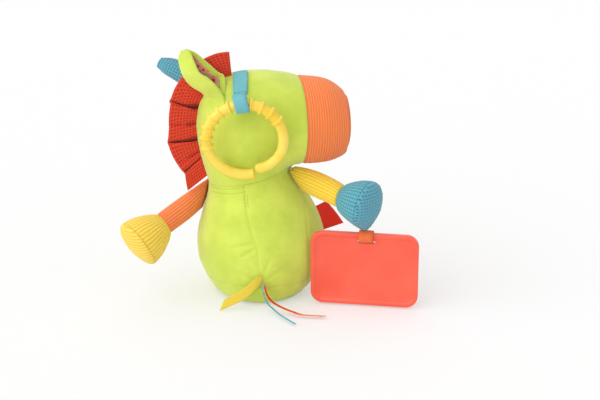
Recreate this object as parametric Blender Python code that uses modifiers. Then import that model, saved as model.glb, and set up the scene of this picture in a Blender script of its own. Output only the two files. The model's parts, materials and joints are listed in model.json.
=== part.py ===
"""Stuffed pony with a sideways head, a grip ring on a ribbon and a baby mirror on one hoof.

Metres, +Z up. The origin is the centre of the flat base, the tail is at +Y and the right arm at -X.
Every sewn or moulded piece is one object, and each moving group hangs on an empty at its joint.
"""

import math

import bmesh
import bpy
from mathutils import Matrix, Vector
from mathutils.bvhtree import BVHTree

X_AXIS = Vector((1, 0, 0))
Y_AXIS = Vector((0, 1, 0))
Z_AXIS = Vector((0, 0, 1))

# Fits and fabric
GAP = 0.0004
STUFFING_GAP = 0.0008
COVER_WALL = 0.0016
KNIT_WALL = 0.0012
LINING_WALL = 0.0009
RIBBON_THICKNESS = 0.0008

# Body: a pear on a flat base, leaning towards the neck
BASE_RADIUS = 0.048
BODY_RADIUS = 0.0655
BODY_WIDEST_HEIGHT = 0.053
BASE_SEAM_HEIGHT = 0.021
BEAN_BAG_HEIGHT = 0.027
NECK_RADIUS = 0.038
NECK_CENTRE = Vector((0.015, 0, 0.121))
NECK_TILT = math.radians(11)
BODY_DEPTH_SHARE = 0.94
BODY_SIDES = 28

# Head: sections that fan round the throat from the neck seam to the muzzle seam
HEAD_YAW = math.radians(7)
THROAT_END = (-0.0415, 0.1295)
CROWN = [
    # X and Z on the crown, and half the head's width there
    (0.0585, 0.134, 0.0388),
    (0.0650, 0.171, 0.0430),
    (0.0580, 0.204, 0.0460),
    (0.0310, 0.2232, 0.0470),
    (-0.0090, 0.2252, 0.0460),
]
MUZZLE_SEAM = (-0.042, 0.2183, 0.045)
MUZZLE = [
    # X, centre height, half height and half width after the seam
    (-0.0595, 0.1733, 0.0434, 0.0434),
    (-0.0730, 0.1720, 0.0394, 0.0396),
    (-0.0825, 0.1700, 0.0325, 0.0330),
]
MUZZLE_DOME = 0.006
HEAD_SIDES = 24
HEAD_STATIONS = 12

# Mane: a gathered strip along the crown
MANE_WIDTH = 0.028
MANE_THICKNESS = 0.0022
MANE_PLEATS = 5.5
MANE_FOLD_AT_SEAM = 0.0012
MANE_FOLD_AT_EDGE = 0.0042
MANE_SPAN = (0.03, 0.68)
MANE_SEAM_DEPTH = 0.002
MANE_TAPER = 0.12
MANE_END_SHARE = 0.55

# Ears: leaves folded along their length, with the fold at the back
EAR_ROOT_BACK = 0.0495
EAR_ROOT_SIDE = 0.016
EAR_ROOT_HEIGHT = 0.2075
RIGHT_EAR_LENGTH = 0.0475
LEFT_EAR_LENGTH = 0.053
EAR_OUTLINE = [
    # share of the length, half the fold's width, depth of the fold
    (-0.10, 0.0042, 0.012),
    (0.20, 0.0052, 0.018),
    (0.45, 0.0060, 0.021),
    (0.75, 0.0050, 0.015),
    (1.00, 0.0030, 0.005),
]
RIGHT_EAR_AXIS = Vector((0.469, 0.03, 0.883)).normalized()
LEFT_EAR_AXIS = Vector((0.87, -0.334, 0.361)).normalized()
EAR_OPENS_SIDEWAYS = math.radians(30)
EAR_FLOP = math.radians(20)

# Eye
EYE_RADIUS = 0.0065
EYE_PLACE = (-0.004, 0.190)

# Ring, its ribbon strap and loop
RING_RADIUS = 0.0368
RING_TUBE = 0.005
RING_RIB = 0.0070
RING_RIB_COUNT = 11
RING_RIB_STEP = math.radians(15.7)
RING_FIRST_RIB = math.radians(-11)
RING_SPLIT = math.radians(255)
RING_SPLIT_GAP = math.radians(3)
RING_TOP = Vector((0.0135, 0.0565, 0.2078))
RING_LEAN = math.radians(8)
STRAP_CENTRE_X = 0.0180
STRAP_WIDTH = 0.0155
STITCH_LINE_Y = 0.0335
LOOP_CLEARANCE = 0.0012
STRAP_BAR_CLEARANCE = 0.0005

# Arms: sleeves sewn flat into the side seams, with flared hooves
ARM_BEYOND_BODY = 0.0245  # the arm is longer than the body's radius by this
ARM_LENGTH = BODY_RADIUS + ARM_BEYOND_BODY
SLEEVE_LENGTH = 0.055
ARM_RADIUS = 0.012
ARM_ROOT_HEIGHT = 0.0235
ARM_ROOT_THICKNESS = 0.009
SOLE_RADIUS = 0.0248
SOLE_DOME = 0.006
SOLE_DOME_SPAN = 0.995
ARM_SIDES = 16
LEFT_ARM_ROOT = Vector((0.0545, -0.004, 0.099))
LEFT_ARM_AXIS = Vector((0.747, 0.518, -0.417)).normalized()
RIGHT_ARM_ROOT = Vector((-0.030, 0.005, 0.1155))
RIGHT_ARM_AXIS = Vector((-0.833, 0.541, -0.112)).normalized()
ARM_FORWARD = math.radians(45)

# Mirror plaque and its ribbon
PLAQUE_WIDTH = 0.106
PLAQUE_HEIGHT = 0.0738
PLAQUE_THICKNESS = 0.006
PLAQUE_CORNER = 0.012
PLAQUE_RIM = 0.0048
PLAQUE_RECESS = 0.0012
PLAQUE_FLOOR_GAP = 0.0008
PLAQUE_YAW = math.radians(9)
PLAQUE_BELOW_HOOF = 0.0068
SLOT_WIDTH = 0.018
SLOT_HEIGHT = 0.003
SLOT_BELOW_TOP = 0.009
SLOT_OFF_CENTRE = 0.0015
MIRROR_WIDTH = 0.084
MIRROR_HEIGHT = 0.046
MIRROR_THICKNESS = 0.0012
MIRROR_BELOW_CENTRE = 0.007
BEZEL_FRAME = 0.004
BEZEL_LIP = 0.0015
BEZEL_THICKNESS = 0.0016
MIRROR_STRAP_WIDTH = 0.014

# Side tab and tail ribbons
TAB_WIDTH = 0.025
TAB_THICKNESS = 0.0012
TAB_TOP_HEIGHT = 0.081
TAB_SEAM_Y = -0.010
TAB_TOP_REACH = Vector((-0.0118, -0.0170, 0))
TAB_BOTTOM_REACH = Vector((-0.0217, -0.0200, 0))
TAIL_RIBBON_WIDTH = 0.011
TAIL_X = -0.0028
TAIL_HEIGHT = 0.026
TAIL_LAYER = 0.0015

COLOURS = {
    "lime": (0.61, 0.80, 0.12),
    "orange": (0.94, 0.22, 0.08),
    "red": (0.62, 0.05, 0.02),
    "teal": (0.14, 0.42, 0.48),
    "yellow": (0.95, 0.66, 0.06),
    "coral": (0.99, 0.15, 0.09),
    "print": (0.80, 0.35, 0.25),
    "white": (0.85, 0.85, 0.82),
    "beans": (0.75, 0.73, 0.66),
    "dark": (0.03, 0.02, 0.02),
    "mirror": (0.9, 0.9, 0.9),
}


def clear_scene():
    for thing in list(bpy.data.objects):
        bpy.data.objects.remove(thing)


def collection(name):
    made = bpy.data.collections.new(name)
    bpy.context.scene.collection.children.link(made)
    return made


clear_scene()
TOY = collection("stuffed_pony")
CUTTERS = collection("cutters")
MATERIALS = {}


def finish(colour, roughness=0.9, metallic=0.0):
    """The Principled material of one colour and surface, made once."""
    key = (colour, roughness, metallic)
    if key not in MATERIALS:
        made = bpy.data.materials.new(f"{colour}_{roughness}")
        made.use_nodes = True
        shader = made.node_tree.nodes["Principled BSDF"]
        shader.inputs["Base Color"].default_value = (*COLOURS[colour], 1)
        shader.inputs["Roughness"].default_value = roughness
        shader.inputs["Metallic"].default_value = metallic
        MATERIALS[key] = made
    return MATERIALS[key]


def joint_empty(name, place, parent=None):
    empty = bpy.data.objects.new(name, None)
    empty.empty_display_size = 0.01
    TOY.objects.link(empty)
    empty.location = place
    bpy.context.view_layer.update()
    if parent:
        hang(empty, parent)
    return empty


def hang(child, parent):
    child.parent = parent
    child.matrix_parent_inverse = parent.matrix_world.inverted()
    bpy.context.view_layer.update()


def part(name, mesh, material, parent=None):
    """One sub-part: a mesh in world coordinates, hung on its joint's empty."""
    obj = bpy.data.objects.new(name, mesh)
    obj.data.materials.append(material)
    obj.data.shade_smooth()
    obj.data.set_sharp_from_angle(angle=math.radians(40))
    TOY.objects.link(obj)
    if parent:
        hang(obj, parent)
    return obj


def say_joint(name, place, axis):
    print("joint", name, "pos", [round(v, 5) for v in place], "axis", [round(v, 5) for v in axis])


def cutter(name, mesh):
    obj = bpy.data.objects.new(name, mesh)
    obj.hide_render = True
    obj.display_type = "WIRE"
    CUTTERS.objects.link(obj)
    return obj


def shell(obj, wall):
    """Thickens an open surface inwards."""
    solidify = obj.modifiers.new("wall", "SOLIDIFY")
    solidify.thickness = wall
    solidify.offset = -1
    solidify.use_even_offset = True


def cut(obj, *tools):
    for tool in tools:
        boolean = obj.modifiers.new(f"cut_{tool.name}", "BOOLEAN")
        boolean.operation = "DIFFERENCE"
        boolean.object = tool


def turned_copy(tool, name, pivot, axis, angle):
    """A copy of a cutter turned about a hinge, to leave room for the hinge's motion."""
    copy = cutter(name, tool.data)
    turn = Matrix.Translation(pivot) @ Matrix.Rotation(angle, 4, axis) @ Matrix.Translation(-pivot)
    copy.matrix_world = turn @ tool.matrix_world
    return copy


def spline(keys, count):
    """Points on a smooth curve through the keys, evenly spread in its own parameter."""
    keys = [Vector(key) for key in keys]
    found = []
    for step in range(count):
        at = step * (len(keys) - 1) / (count - 1)
        i = min(int(at), len(keys) - 2)
        t = at - i
        before = keys[i - 1] if i else 2 * keys[0] - keys[1]
        after = keys[i + 2] if i + 2 < len(keys) else 2 * keys[-1] - keys[-2]
        p, q = keys[i], keys[i + 1]
        found.append(
            (2 * p + (q - before) * t + (2 * before - 5 * p + 4 * q - after) * t**2
             + (3 * p - before - 3 * q + after) * t**3) / 2
        )
    return found


def ring(centre, across, up, half_across, half_up, sides):
    """An ellipse of points, anticlockwise about across x up."""
    turns = [2 * math.pi * side / sides for side in range(sides)]
    return [
        centre + across * (half_across * math.cos(turn)) + up * (half_up * math.sin(turn))
        for turn in turns
    ]


def loft(name, rings, close_start=False, close_end=False):
    """Faces between rings of points, with flat ends where asked."""
    bm = bmesh.new()
    loops = [[bm.verts.new(point) for point in points] for points in rings]
    for lower, upper in zip(loops, loops[1:]):
        for j in range(len(lower)):
            k = (j + 1) % len(lower)
            bm.faces.new((lower[j], lower[k], upper[k], upper[j]))
    if close_start:
        bm.faces.new(list(reversed(loops[0])))
    if close_end:
        bm.faces.new(loops[-1])
    return to_mesh(bm, name)


def sheet(name, rows, lift=0.0):
    """An open grid of points, moved along its own normals by lift."""
    bm = bmesh.new()
    grid = [[bm.verts.new(point) for point in row] for row in rows]
    for lower, upper in zip(grid, grid[1:]):
        for j in range(len(lower) - 1):
            bm.faces.new((lower[j], lower[j + 1], upper[j + 1], upper[j]))
    bm.normal_update()
    for vert in bm.verts:
        vert.co += vert.normal * lift
    return to_mesh(bm, name)


def to_mesh(bm, name):
    bm.normal_update()
    mesh = bpy.data.meshes.new(name)
    bm.to_mesh(mesh)
    bm.free()
    return mesh


def moved(points, matrix):
    return [matrix @ point for point in points]


# Body

def body_section(height):
    """Centre, radius and up direction of the body's round section at a height."""
    rise = height / NECK_CENTRE.z
    if height < BODY_WIDEST_HEIGHT:
        share = (1 - (1 - height / BODY_WIDEST_HEIGHT) ** 2) ** 0.625
        radius = BASE_RADIUS + (BODY_RADIUS - BASE_RADIUS) * share
    else:
        share = (height - BODY_WIDEST_HEIGHT) / (NECK_CENTRE.z - BODY_WIDEST_HEIGHT)
        radius = BODY_RADIUS + (NECK_RADIUS - BODY_RADIUS) * share**1.55
    lean = NECK_TILT * rise**6
    normal = Vector((math.sin(lean), 0, math.cos(lean)))
    return Vector((NECK_CENTRE.x * rise**6, 0, height)), radius, normal


def body_ring(height, inset=0.0):
    """The section's points, moved inwards along the body's own surface normal."""
    step = 0.0005
    centre, radius, normal = body_section(height)
    low = body_section(max(height - step, 0))[1]
    high = body_section(min(height + step, NECK_CENTRE.z))[1]
    slope = Vector((high - low, 2 * step)).normalized()
    centre = centre + normal * (inset * slope.x)
    depth = radius * body_depth_share(height) - inset * slope.y
    radius -= inset * slope.y
    across = (X_AXIS - normal * normal.x).normalized()
    return ring(centre, across, Y_AXIS, radius, depth, BODY_SIDES)


def body_depth_share(height):
    """Front-to-back size over side-to-side size: a little flat below, round at the neck."""
    return BODY_DEPTH_SHARE + (1 - BODY_DEPTH_SHARE) * (height / NECK_CENTRE.z) ** 4


def body_heights(low, high, count):
    return [low + (high - low) * step / (count - 1) for step in range(count)]


def make_body():
    neck = NECK_CENTRE.z - GAP / 2
    inner = COVER_WALL + STUFFING_GAP
    upper = body_heights(BASE_SEAM_HEIGHT + GAP, neck, 12)
    cover = loft("body_cover", [body_ring(height) for height in upper])
    shell(part("body_cover", cover, finish("lime")), COVER_WALL)

    lower = [0, 0.002, 0.006, 0.012, BASE_SEAM_HEIGHT]
    panel = loft("base_panel", [body_ring(height) for height in lower], close_start=True)
    shell(part("base_panel", panel, finish("lime")), COVER_WALL)

    bag_radius = BASE_RADIUS - inner
    bag_depth = BASE_RADIUS * BODY_DEPTH_SHARE - inner
    bag_floor = ring(Z_AXIS * inner, X_AXIS, Y_AXIS, bag_radius, bag_depth, BODY_SIDES)
    bag_heights = [0.006, 0.012, 0.020, BEAN_BAG_HEIGHT]
    bag = [bag_floor] + [body_ring(height, inner) for height in bag_heights]
    part("bean_bag", loft("bean_bag", bag, True, True), finish("beans"))

    fill = body_heights(BEAN_BAG_HEIGHT + 2 * GAP, neck - GAP, 9)
    stuffing = [body_ring(height, inner) for height in fill]
    part("body_stuffing", loft("body_stuffing", stuffing, True, True), finish("white"))

    whole = [body_ring(height, -GAP) for height in body_heights(0.001, NECK_CENTRE.z, 16)]
    return cutter("body_room", loft("body_room", whole, True, True))


BODY_ROOM = make_body()

# Head

NECK_NORMAL = Vector((math.sin(NECK_TILT), 0, math.cos(NECK_TILT)))
HEAD = (
    Matrix.Translation(NECK_CENTRE)
    @ Matrix.Rotation(HEAD_YAW, 4, NECK_NORMAL)
    @ Matrix.Translation(-NECK_CENTRE)
)
HEAD_TURN = joint_empty("head_turn", NECK_CENTRE)


def head_sections():
    """Throat point, crown point and half width of each section, from the neck to the muzzle."""
    along = Vector((math.cos(NECK_TILT), 0, -math.sin(NECK_TILT)))
    neck_back = NECK_CENTRE + along * NECK_RADIUS
    neck_front = NECK_CENTRE - along * NECK_RADIUS
    crown = [(neck_back.x, neck_back.z, NECK_RADIUS), *CROWN, MUZZLE_SEAM]
    crown = spline(crown, HEAD_STATIONS)
    throat_end = Vector((THROAT_END[0], 0, THROAT_END[1]))
    found = []
    for step, (x, z, half_width) in enumerate(crown):
        share = step / (HEAD_STATIONS - 1)
        found.append((neck_front.lerp(throat_end, share), Vector((x, 0, z)), half_width))
    return found


SECTIONS = head_sections()


def head_ring(section):
    throat, crown, half_width = section
    half = (crown - throat) / 2
    return ring(throat + half, half.normalized(), Y_AXIS, half.length, half_width, HEAD_SIDES)


def inset_rings(rings, distance):
    """The rings moved inwards along the normals of the surface that they span."""
    found = []
    for i, points in enumerate(rings):
        before = rings[max(i - 1, 0)]
        after = rings[min(i + 1, len(rings) - 1)]
        row = []
        for j, point in enumerate(points):
            around = points[(j + 1) % len(points)] - points[j - 1]
            row.append(point - around.cross(after[j] - before[j]).normalized() * distance)
        found.append(row)
    return found


def muzzle_rings():
    """The muzzle's sections, from its seam with the head to its end seam."""
    throat, crown, half_width = SECTIONS[-1]
    middle = (throat + crown) / 2
    keys = [(middle.x, middle.z, (crown - throat).length / 2, half_width), *MUZZLE]
    rings = []
    for x, z, half_height, half_width in spline(keys, 6):
        centre = Vector((x, 0, z))
        rings.append(ring(centre, Z_AXIS, Y_AXIS, half_height, half_width, HEAD_SIDES))
    return rings


def shifted(rings, offset):
    return [[point + offset for point in points] for points in rings]


def make_head():
    neck_gap = NECK_NORMAL * (GAP / 2)
    cover = [head_ring(section) for section in SECTIONS]
    cover[0] = [point + neck_gap for point in cover[0]]
    cover = [moved(points, HEAD) for points in cover]
    surface = loft("head_cover", cover)
    shell(part("head_cover", surface, finish("lime"), HEAD_TURN), COVER_WALL)

    seam_gap = X_AXIS * -GAP
    tube = muzzle_rings()
    tube = [moved(points, HEAD) for points in [*shifted(tube[:1], 1.5 * seam_gap), *tube[1:]]]
    shell(part("muzzle_cover", loft("muzzle_cover", tube), finish("orange"), HEAD_TURN), COVER_WALL)

    end_x, end_z, half_height, half_width = MUZZLE[-1]
    dome = []
    for share in (1, 0.85, 0.6, 0.3):
        bulge = MUZZLE_DOME * math.sqrt(1 - (share * 0.98) ** 2)
        centre = Vector((end_x - GAP - COVER_WALL / 5 - bulge, 0, end_z))
        points = ring(centre, Z_AXIS, Y_AXIS, half_height * share, half_width * share, HEAD_SIDES)
        dome.append(moved(points, HEAD))
    cap = loft("muzzle_end_panel", dome, close_end=True)
    shell(part("muzzle_end_panel", cap, finish("orange"), HEAD_TURN), COVER_WALL)

    inner = COVER_WALL + STUFFING_GAP
    fill = [head_ring(section) for section in SECTIONS[:-1]] + muzzle_rings()
    fill = [moved(points, HEAD) for points in inset_rings(fill, inner)[1:]]
    part("head_stuffing", loft("head_stuffing", fill, True, True), finish("white"), HEAD_TURN)

    room = inset_rings([head_ring(section) for section in SECTIONS], -GAP)
    room = [moved(points, HEAD) for points in room]
    return cutter("head_room", loft("head_room", room, True, True))


HEAD_ROOM = make_head()


def crown_frame(share):
    """Point on the crown at a share of its length, with its forward and outward directions."""
    step = 0.01
    dense = spline([crown for _, crown, _ in SECTIONS], 201)
    at = min(max(share, step), 1 - step)
    here = dense[round(share * 200)]
    forward = (dense[round((at + step) * 200)] - dense[round((at - step) * 200)]).normalized()
    return here, forward, forward.cross(Y_AXIS).normalized() * -1


def make_mane():
    columns = 45
    rows = []
    for depth_step in range(6):
        out = depth_step / 5
        fold = MANE_FOLD_AT_SEAM + (MANE_FOLD_AT_EDGE - MANE_FOLD_AT_SEAM) * out
        row = []
        for column in range(columns):
            share = column / (columns - 1)
            width = MANE_WIDTH * (MANE_END_SHARE + (1 - MANE_END_SHARE) * min(share / MANE_TAPER, 1))
            depth = -MANE_SEAM_DEPTH + (width + MANE_SEAM_DEPTH) * out
            here, _, outward = crown_frame(MANE_SPAN[0] + (MANE_SPAN[1] - MANE_SPAN[0]) * share)
            side = Y_AXIS * (fold * math.sin(2 * math.pi * MANE_PLEATS * share))
            row.append(HEAD @ (here + outward * depth + side))
        rows.append(row)
    mane = part("mane_frill", sheet("mane_frill", rows), finish("red"), HEAD_TURN)
    thick = mane.modifiers.new("thickness", "SOLIDIFY")
    thick.thickness = MANE_THICKNESS
    thick.offset = 0
    cut(mane, HEAD_ROOM)


make_mane()


def make_eye():
    tree = BVHTree.FromObject(HEAD_ROOM, bpy.context.evaluated_depsgraph_get())
    start = HEAD @ Vector((EYE_PLACE[0], -0.2, EYE_PLACE[1]))
    place, normal, _, _ = tree.ray_cast(start, HEAD.to_3x3() @ Y_AXIS)
    bm = bmesh.new()
    bmesh.ops.create_cone(
        bm, cap_ends=True, segments=20, radius1=EYE_RADIUS, radius2=EYE_RADIUS * 0.9, depth=LINING_WALL
    )
    turn = normal.to_track_quat("Z", "Y").to_matrix().to_4x4()
    lift = Matrix.Translation(place + normal * (LINING_WALL / 2 + GAP))
    bmesh.ops.transform(bm, matrix=lift @ turn, verts=bm.verts)
    part("eye_patch", to_mesh(bm, "eye_patch"), finish("dark"), HEAD_TURN)


make_eye()

# Ears

def fold_point(across, half_width, depth):
    """A point of the folded leaf's U section: across is -1 to 1 from rim to rim."""
    bend = half_width * math.pi / 2
    run = abs(across) * (bend + depth - half_width)
    side = math.copysign(1, across)
    if run < bend:
        angle = run / half_width
        return side * half_width * math.sin(angle), half_width * (1 - math.cos(angle))
    return side * half_width, half_width + run - bend


def make_ear(side_name, side, axis, length, outer_colour, lining_colour):
    forward = (-X_AXIS - axis * -axis.x).normalized()
    sideways = axis.cross(forward).normalized()
    sideways *= math.copysign(1, sideways.y * side)
    opening = forward * math.cos(EAR_OPENS_SIDEWAYS) + sideways * math.sin(EAR_OPENS_SIDEWAYS)
    across = axis.cross(opening).normalized()
    root = Vector((EAR_ROOT_BACK, EAR_ROOT_SIDE * side, EAR_ROOT_HEIGHT))

    def leaf(first, last):
        rows = []
        for share, half_width, depth in spline(EAR_OUTLINE, 11)[first:last]:
            row = []
            for step in range(11):
                x, y = fold_point(step / 5 - 1, half_width, depth)
                middle = y - depth / 2
                row.append(HEAD @ (root + axis * (length * share) + across * x + opening * middle))
            rows.append(row)
        return rows

    hinge = HEAD @ root
    hinge_axis = HEAD.to_3x3() @ opening
    empty = joint_empty(f"ear_{side_name}_flop", hinge, HEAD_TURN)
    tools = [HEAD_ROOM]
    for sign in (-1, 1):
        name = f"head_room_{side_name}_{'in' if sign < 0 else 'out'}"
        tools.append(turned_copy(HEAD_ROOM, name, hinge, hinge_axis, sign * EAR_FLOP))
    outer = part(f"ear_{side_name}_outer", sheet("ear_outer", leaf(0, 11)), finish(outer_colour), empty)
    thick = outer.modifiers.new("thickness", "SOLIDIFY")
    thick.thickness = COVER_WALL
    thick.offset = -1
    cut(outer, *tools)
    rows = leaf(1, 10)
    lining = part(f"ear_{side_name}_lining", sheet("ear_lining", rows, GAP), finish(lining_colour), empty)
    thick = lining.modifiers.new("thickness", "SOLIDIFY")
    thick.thickness = LINING_WALL
    thick.offset = 1
    cut(lining, *tools)
    say_joint(empty.name, hinge, hinge_axis)


make_ear("right", 1, RIGHT_EAR_AXIS, RIGHT_EAR_LENGTH, "lime", "print")
make_ear("left", -1, LEFT_EAR_AXIS, LEFT_EAR_LENGTH, "teal", "lime")

# Ring and its ribbon

RING_UP = Vector((0, math.sin(RING_LEAN), math.cos(RING_LEAN)))
RING_NORMAL = Vector((0, math.cos(RING_LEAN), -math.sin(RING_LEAN)))
RING_CENTRE = RING_TOP - RING_UP * RING_RADIUS
LOOP_ANGLE = math.asin((STRAP_CENTRE_X - RING_TOP.x) / RING_RADIUS)
LOOP_CENTRE = RING_CENTRE + (X_AXIS * math.sin(LOOP_ANGLE) + RING_UP * math.cos(LOOP_ANGLE)) * RING_RADIUS
LOOP_ALONG = (X_AXIS * math.cos(LOOP_ANGLE) - RING_UP * math.sin(LOOP_ANGLE)).normalized()


def strap_point(tree, x, y):
    """The head's surface under a point of the strap, seen from above, and its normal."""
    place, normal, _, _ = tree.ray_cast(Vector((x, y, 0.4)), -Z_AXIS)
    return place, normal


def ribbon_loop(name, tip, centre, along, radius, width):
    """A ribbon sewn into a teardrop: from its tip round a bar that runs along the given direction."""
    reach = centre - tip
    reach -= along * reach.dot(along)
    away = reach.normalized()
    side = along.cross(away).normalized()

    def teardrop(bend, tip_move):
        half_angle = math.acos(bend / (reach.length - tip_move))
        points = [tip + away * tip_move]
        for step in range(17):
            angle = half_angle + (2 * math.pi - 2 * half_angle) * step / 16
            points.append(tip + reach - away * (bend * math.cos(angle)) + side * (bend * math.sin(angle)))
        return points

    outer = teardrop(radius + RIBBON_THICKNESS, 0)
    hollow = teardrop(radius, RIBBON_THICKNESS)
    edge = along * (width / 2)
    bm = bmesh.new()
    loops = []
    for points, offset in ((outer, -edge), (outer, edge), (hollow, edge), (hollow, -edge)):
        loops.append([bm.verts.new(point + offset) for point in points])
    for lower, upper in zip(loops, [*loops[1:], loops[0]]):
        for j in range(len(lower)):
            k = (j + 1) % len(lower)
            bm.faces.new((lower[j], lower[k], upper[k], upper[j]))
    bmesh.ops.recalc_face_normals(bm, faces=bm.faces)
    return to_mesh(bm, name)


def make_strap_and_loop():
    tree = BVHTree.FromObject(HEAD_ROOM, bpy.context.evaluated_depsgraph_get())
    rows = []
    for step in range(9):
        row = []
        for across in (-1, -0.5, 0, 0.5, 1):
            x = STRAP_CENTRE_X + across * STRAP_WIDTH / 2
            slant = (x - STRAP_CENTRE_X) * math.tan(LOOP_ANGLE)
            y = (STITCH_LINE_Y - 0.0015 + slant) * (0.06 + 0.94 * step / 8)
            place, normal = strap_point(tree, x, y)
            row.append(place + normal * GAP)
        rows.append(row)
    strap = part("ring_strap", sheet("ring_strap", rows), finish("teal", 0.5), HEAD_TURN)
    thick = strap.modifiers.new("thickness", "SOLIDIFY")
    thick.thickness = RIBBON_THICKNESS
    thick.offset = 1

    seat, seat_normal = strap_point(tree, STRAP_CENTRE_X, STITCH_LINE_Y)
    hinge = seat + seat_normal * (GAP + RIBBON_THICKNESS)
    empty = joint_empty("ring_loop_swing", hinge, HEAD_TURN)
    band = ribbon_loop("ring_loop", hinge, LOOP_CENTRE, LOOP_ALONG, RING_RIB + LOOP_CLEARANCE, STRAP_WIDTH)
    part("ring_loop", band, finish("teal", 0.5), empty)
    say_joint(empty.name, hinge, LOOP_ALONG)
    return empty


RING_LOOP = make_strap_and_loop()


def make_ring():
    """The split ring: a tube that swells into a rib at every second point of its ribbed arc."""
    start = RING_SPLIT + RING_SPLIT_GAP / 2 - 2 * math.pi
    end = RING_SPLIT - RING_SPLIT_GAP / 2
    radii = {}
    for rib in range(RING_RIB_COUNT):
        middle = RING_FIRST_RIB + rib * RING_RIB_STEP
        radii[middle - RING_RIB_STEP / 2] = RING_TUBE
        radii[middle] = RING_RIB
    radii[RING_FIRST_RIB + (RING_RIB_COUNT - 0.5) * RING_RIB_STEP] = RING_TUBE
    first = min(radii)
    last = max(radii)
    for step in range(12):
        radii[start + (first - start) * step / 12] = RING_TUBE
        radii[end + (last - end) * step / 12] = RING_TUBE
    curve = bpy.data.curves.new("teething_ring", "CURVE")
    curve.dimensions = "3D"
    curve.bevel_depth = 1.0
    curve.bevel_resolution = 3
    curve.use_fill_caps = True
    path = curve.splines.new("POLY")
    path.points.add(len(radii) - 1)
    for point, angle in zip(path.points, sorted(radii)):
        place = RING_CENTRE + (X_AXIS * math.cos(angle) + RING_UP * math.sin(angle)) * RING_RADIUS
        point.co = (*place, 1)
        point.radius = radii[angle]
    tube = bpy.data.objects.new("ring_path", curve)
    CUTTERS.objects.link(tube)
    bpy.context.view_layer.update()
    mesh = bpy.data.meshes.new_from_object(tube.evaluated_get(bpy.context.evaluated_depsgraph_get()))
    bpy.data.objects.remove(tube)
    bm = bmesh.new()
    bm.from_mesh(mesh)
    bmesh.ops.remove_doubles(bm, verts=bm.verts, dist=1e-6)
    bmesh.ops.recalc_face_normals(bm, faces=bm.faces)
    empty = joint_empty("ring_turn", RING_CENTRE, RING_LOOP)
    part("teething_ring", to_mesh(bm, "teething_ring"), finish("yellow", 0.35), empty)
    say_joint(empty.name, RING_CENTRE, RING_NORMAL)


make_ring()

# Arms

def arm_frame(root, axis):
    up = (Z_AXIS - axis * axis.z).normalized()
    return root, axis, up, axis.cross(up).normalized()


def arm_ring(frame, distance, half_up, half_side):
    root, axis, up, side = frame
    return ring(root + axis * distance, up, side, half_up, half_side, ARM_SIDES)


def sleeve_sections(inset, start, end):
    """Distance, half height and half thickness along the sleeve, flat at the root and round at the hoof."""
    found = []
    for step in range(7):
        distance = start + (end - start) * step / 6
        swell = min(max(distance, 0) / (SLEEVE_LENGTH * 0.55), 1)
        swell = math.sin(swell * math.pi / 2)
        half_up = ARM_ROOT_HEIGHT / 2 + (ARM_RADIUS - ARM_ROOT_HEIGHT / 2) * swell
        half_side = ARM_ROOT_THICKNESS / 2 + (ARM_RADIUS - ARM_ROOT_THICKNESS / 2) * swell
        found.append((distance, half_up - inset, half_side - inset))
    return found


def hoof_sections(inset, start, end):
    """Distance and radius along the hoof, which flares to its sole."""
    found = []
    for step in range(7):
        distance = start + (end - start) * step / 6
        share = min(max((distance - SLEEVE_LENGTH) / (ARM_LENGTH - SLEEVE_LENGTH), 0), 1)
        radius = ARM_RADIUS + (SOLE_RADIUS - ARM_RADIUS) * math.sin(share * math.pi / 2) ** 0.9
        found.append((distance, radius - inset, radius - inset))
    return found


def make_arm(side_name, root, axis, hinge_axis, sleeve_colour, hoof_colour):
    frame = arm_frame(root, axis)
    hinge = root + axis * 0.004
    empty = joint_empty(f"arm_{side_name}_swing", hinge)
    tools = [BODY_ROOM]
    for share in (0.5, 1):
        name = f"body_room_{side_name}_{share}"
        tools.append(turned_copy(BODY_ROOM, name, hinge, hinge_axis, -ARM_FORWARD * share))

    sections = sleeve_sections(0, -0.003, SLEEVE_LENGTH)
    rings = [arm_ring(frame, *section) for section in sections]
    name = f"arm_{side_name}_sleeve"
    sleeve = part(name, loft(name, rings), finish(sleeve_colour), empty)
    shell(sleeve, KNIT_WALL)
    cut(sleeve, *tools)

    name = f"hoof_{side_name}"
    sections = hoof_sections(0, SLEEVE_LENGTH + GAP, ARM_LENGTH)
    rings = [arm_ring(frame, *section) for section in sections]
    hoof = part(name, loft(name, rings), finish(hoof_colour), empty)
    shell(hoof, KNIT_WALL)

    name = f"hoof_{side_name}_sole"
    dome = []
    for share in (1, 0.8, 0.4):
        distance = ARM_LENGTH + GAP + KNIT_WALL / 2 + SOLE_DOME * math.sqrt(1 - (share * SOLE_DOME_SPAN) ** 2)
        dome.append(arm_ring(frame, distance, SOLE_RADIUS * share, SOLE_RADIUS * share))
    sole = part(name, loft(name, dome, close_end=True), finish(hoof_colour), empty)
    shell(sole, KNIT_WALL)

    name = f"arm_{side_name}_stuffing"
    inner = KNIT_WALL + STUFFING_GAP
    fill = sleeve_sections(inner, 0.014, SLEEVE_LENGTH)
    fill += hoof_sections(inner, SLEEVE_LENGTH + 0.003, ARM_LENGTH - KNIT_WALL)
    stuffing = loft(name, [arm_ring(frame, *section) for section in fill], True, True)
    cut(part(name, stuffing, finish("white"), empty), *tools)
    say_joint(empty.name, hinge, hinge_axis)
    return frame, empty


make_arm("left", LEFT_ARM_ROOT, LEFT_ARM_AXIS, -Z_AXIS, "orange", "yellow")
RIGHT_ARM, RIGHT_ARM_SWING = make_arm("right", RIGHT_ARM_ROOT, RIGHT_ARM_AXIS, Z_AXIS, "yellow", "teal")

# Mirror

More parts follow.
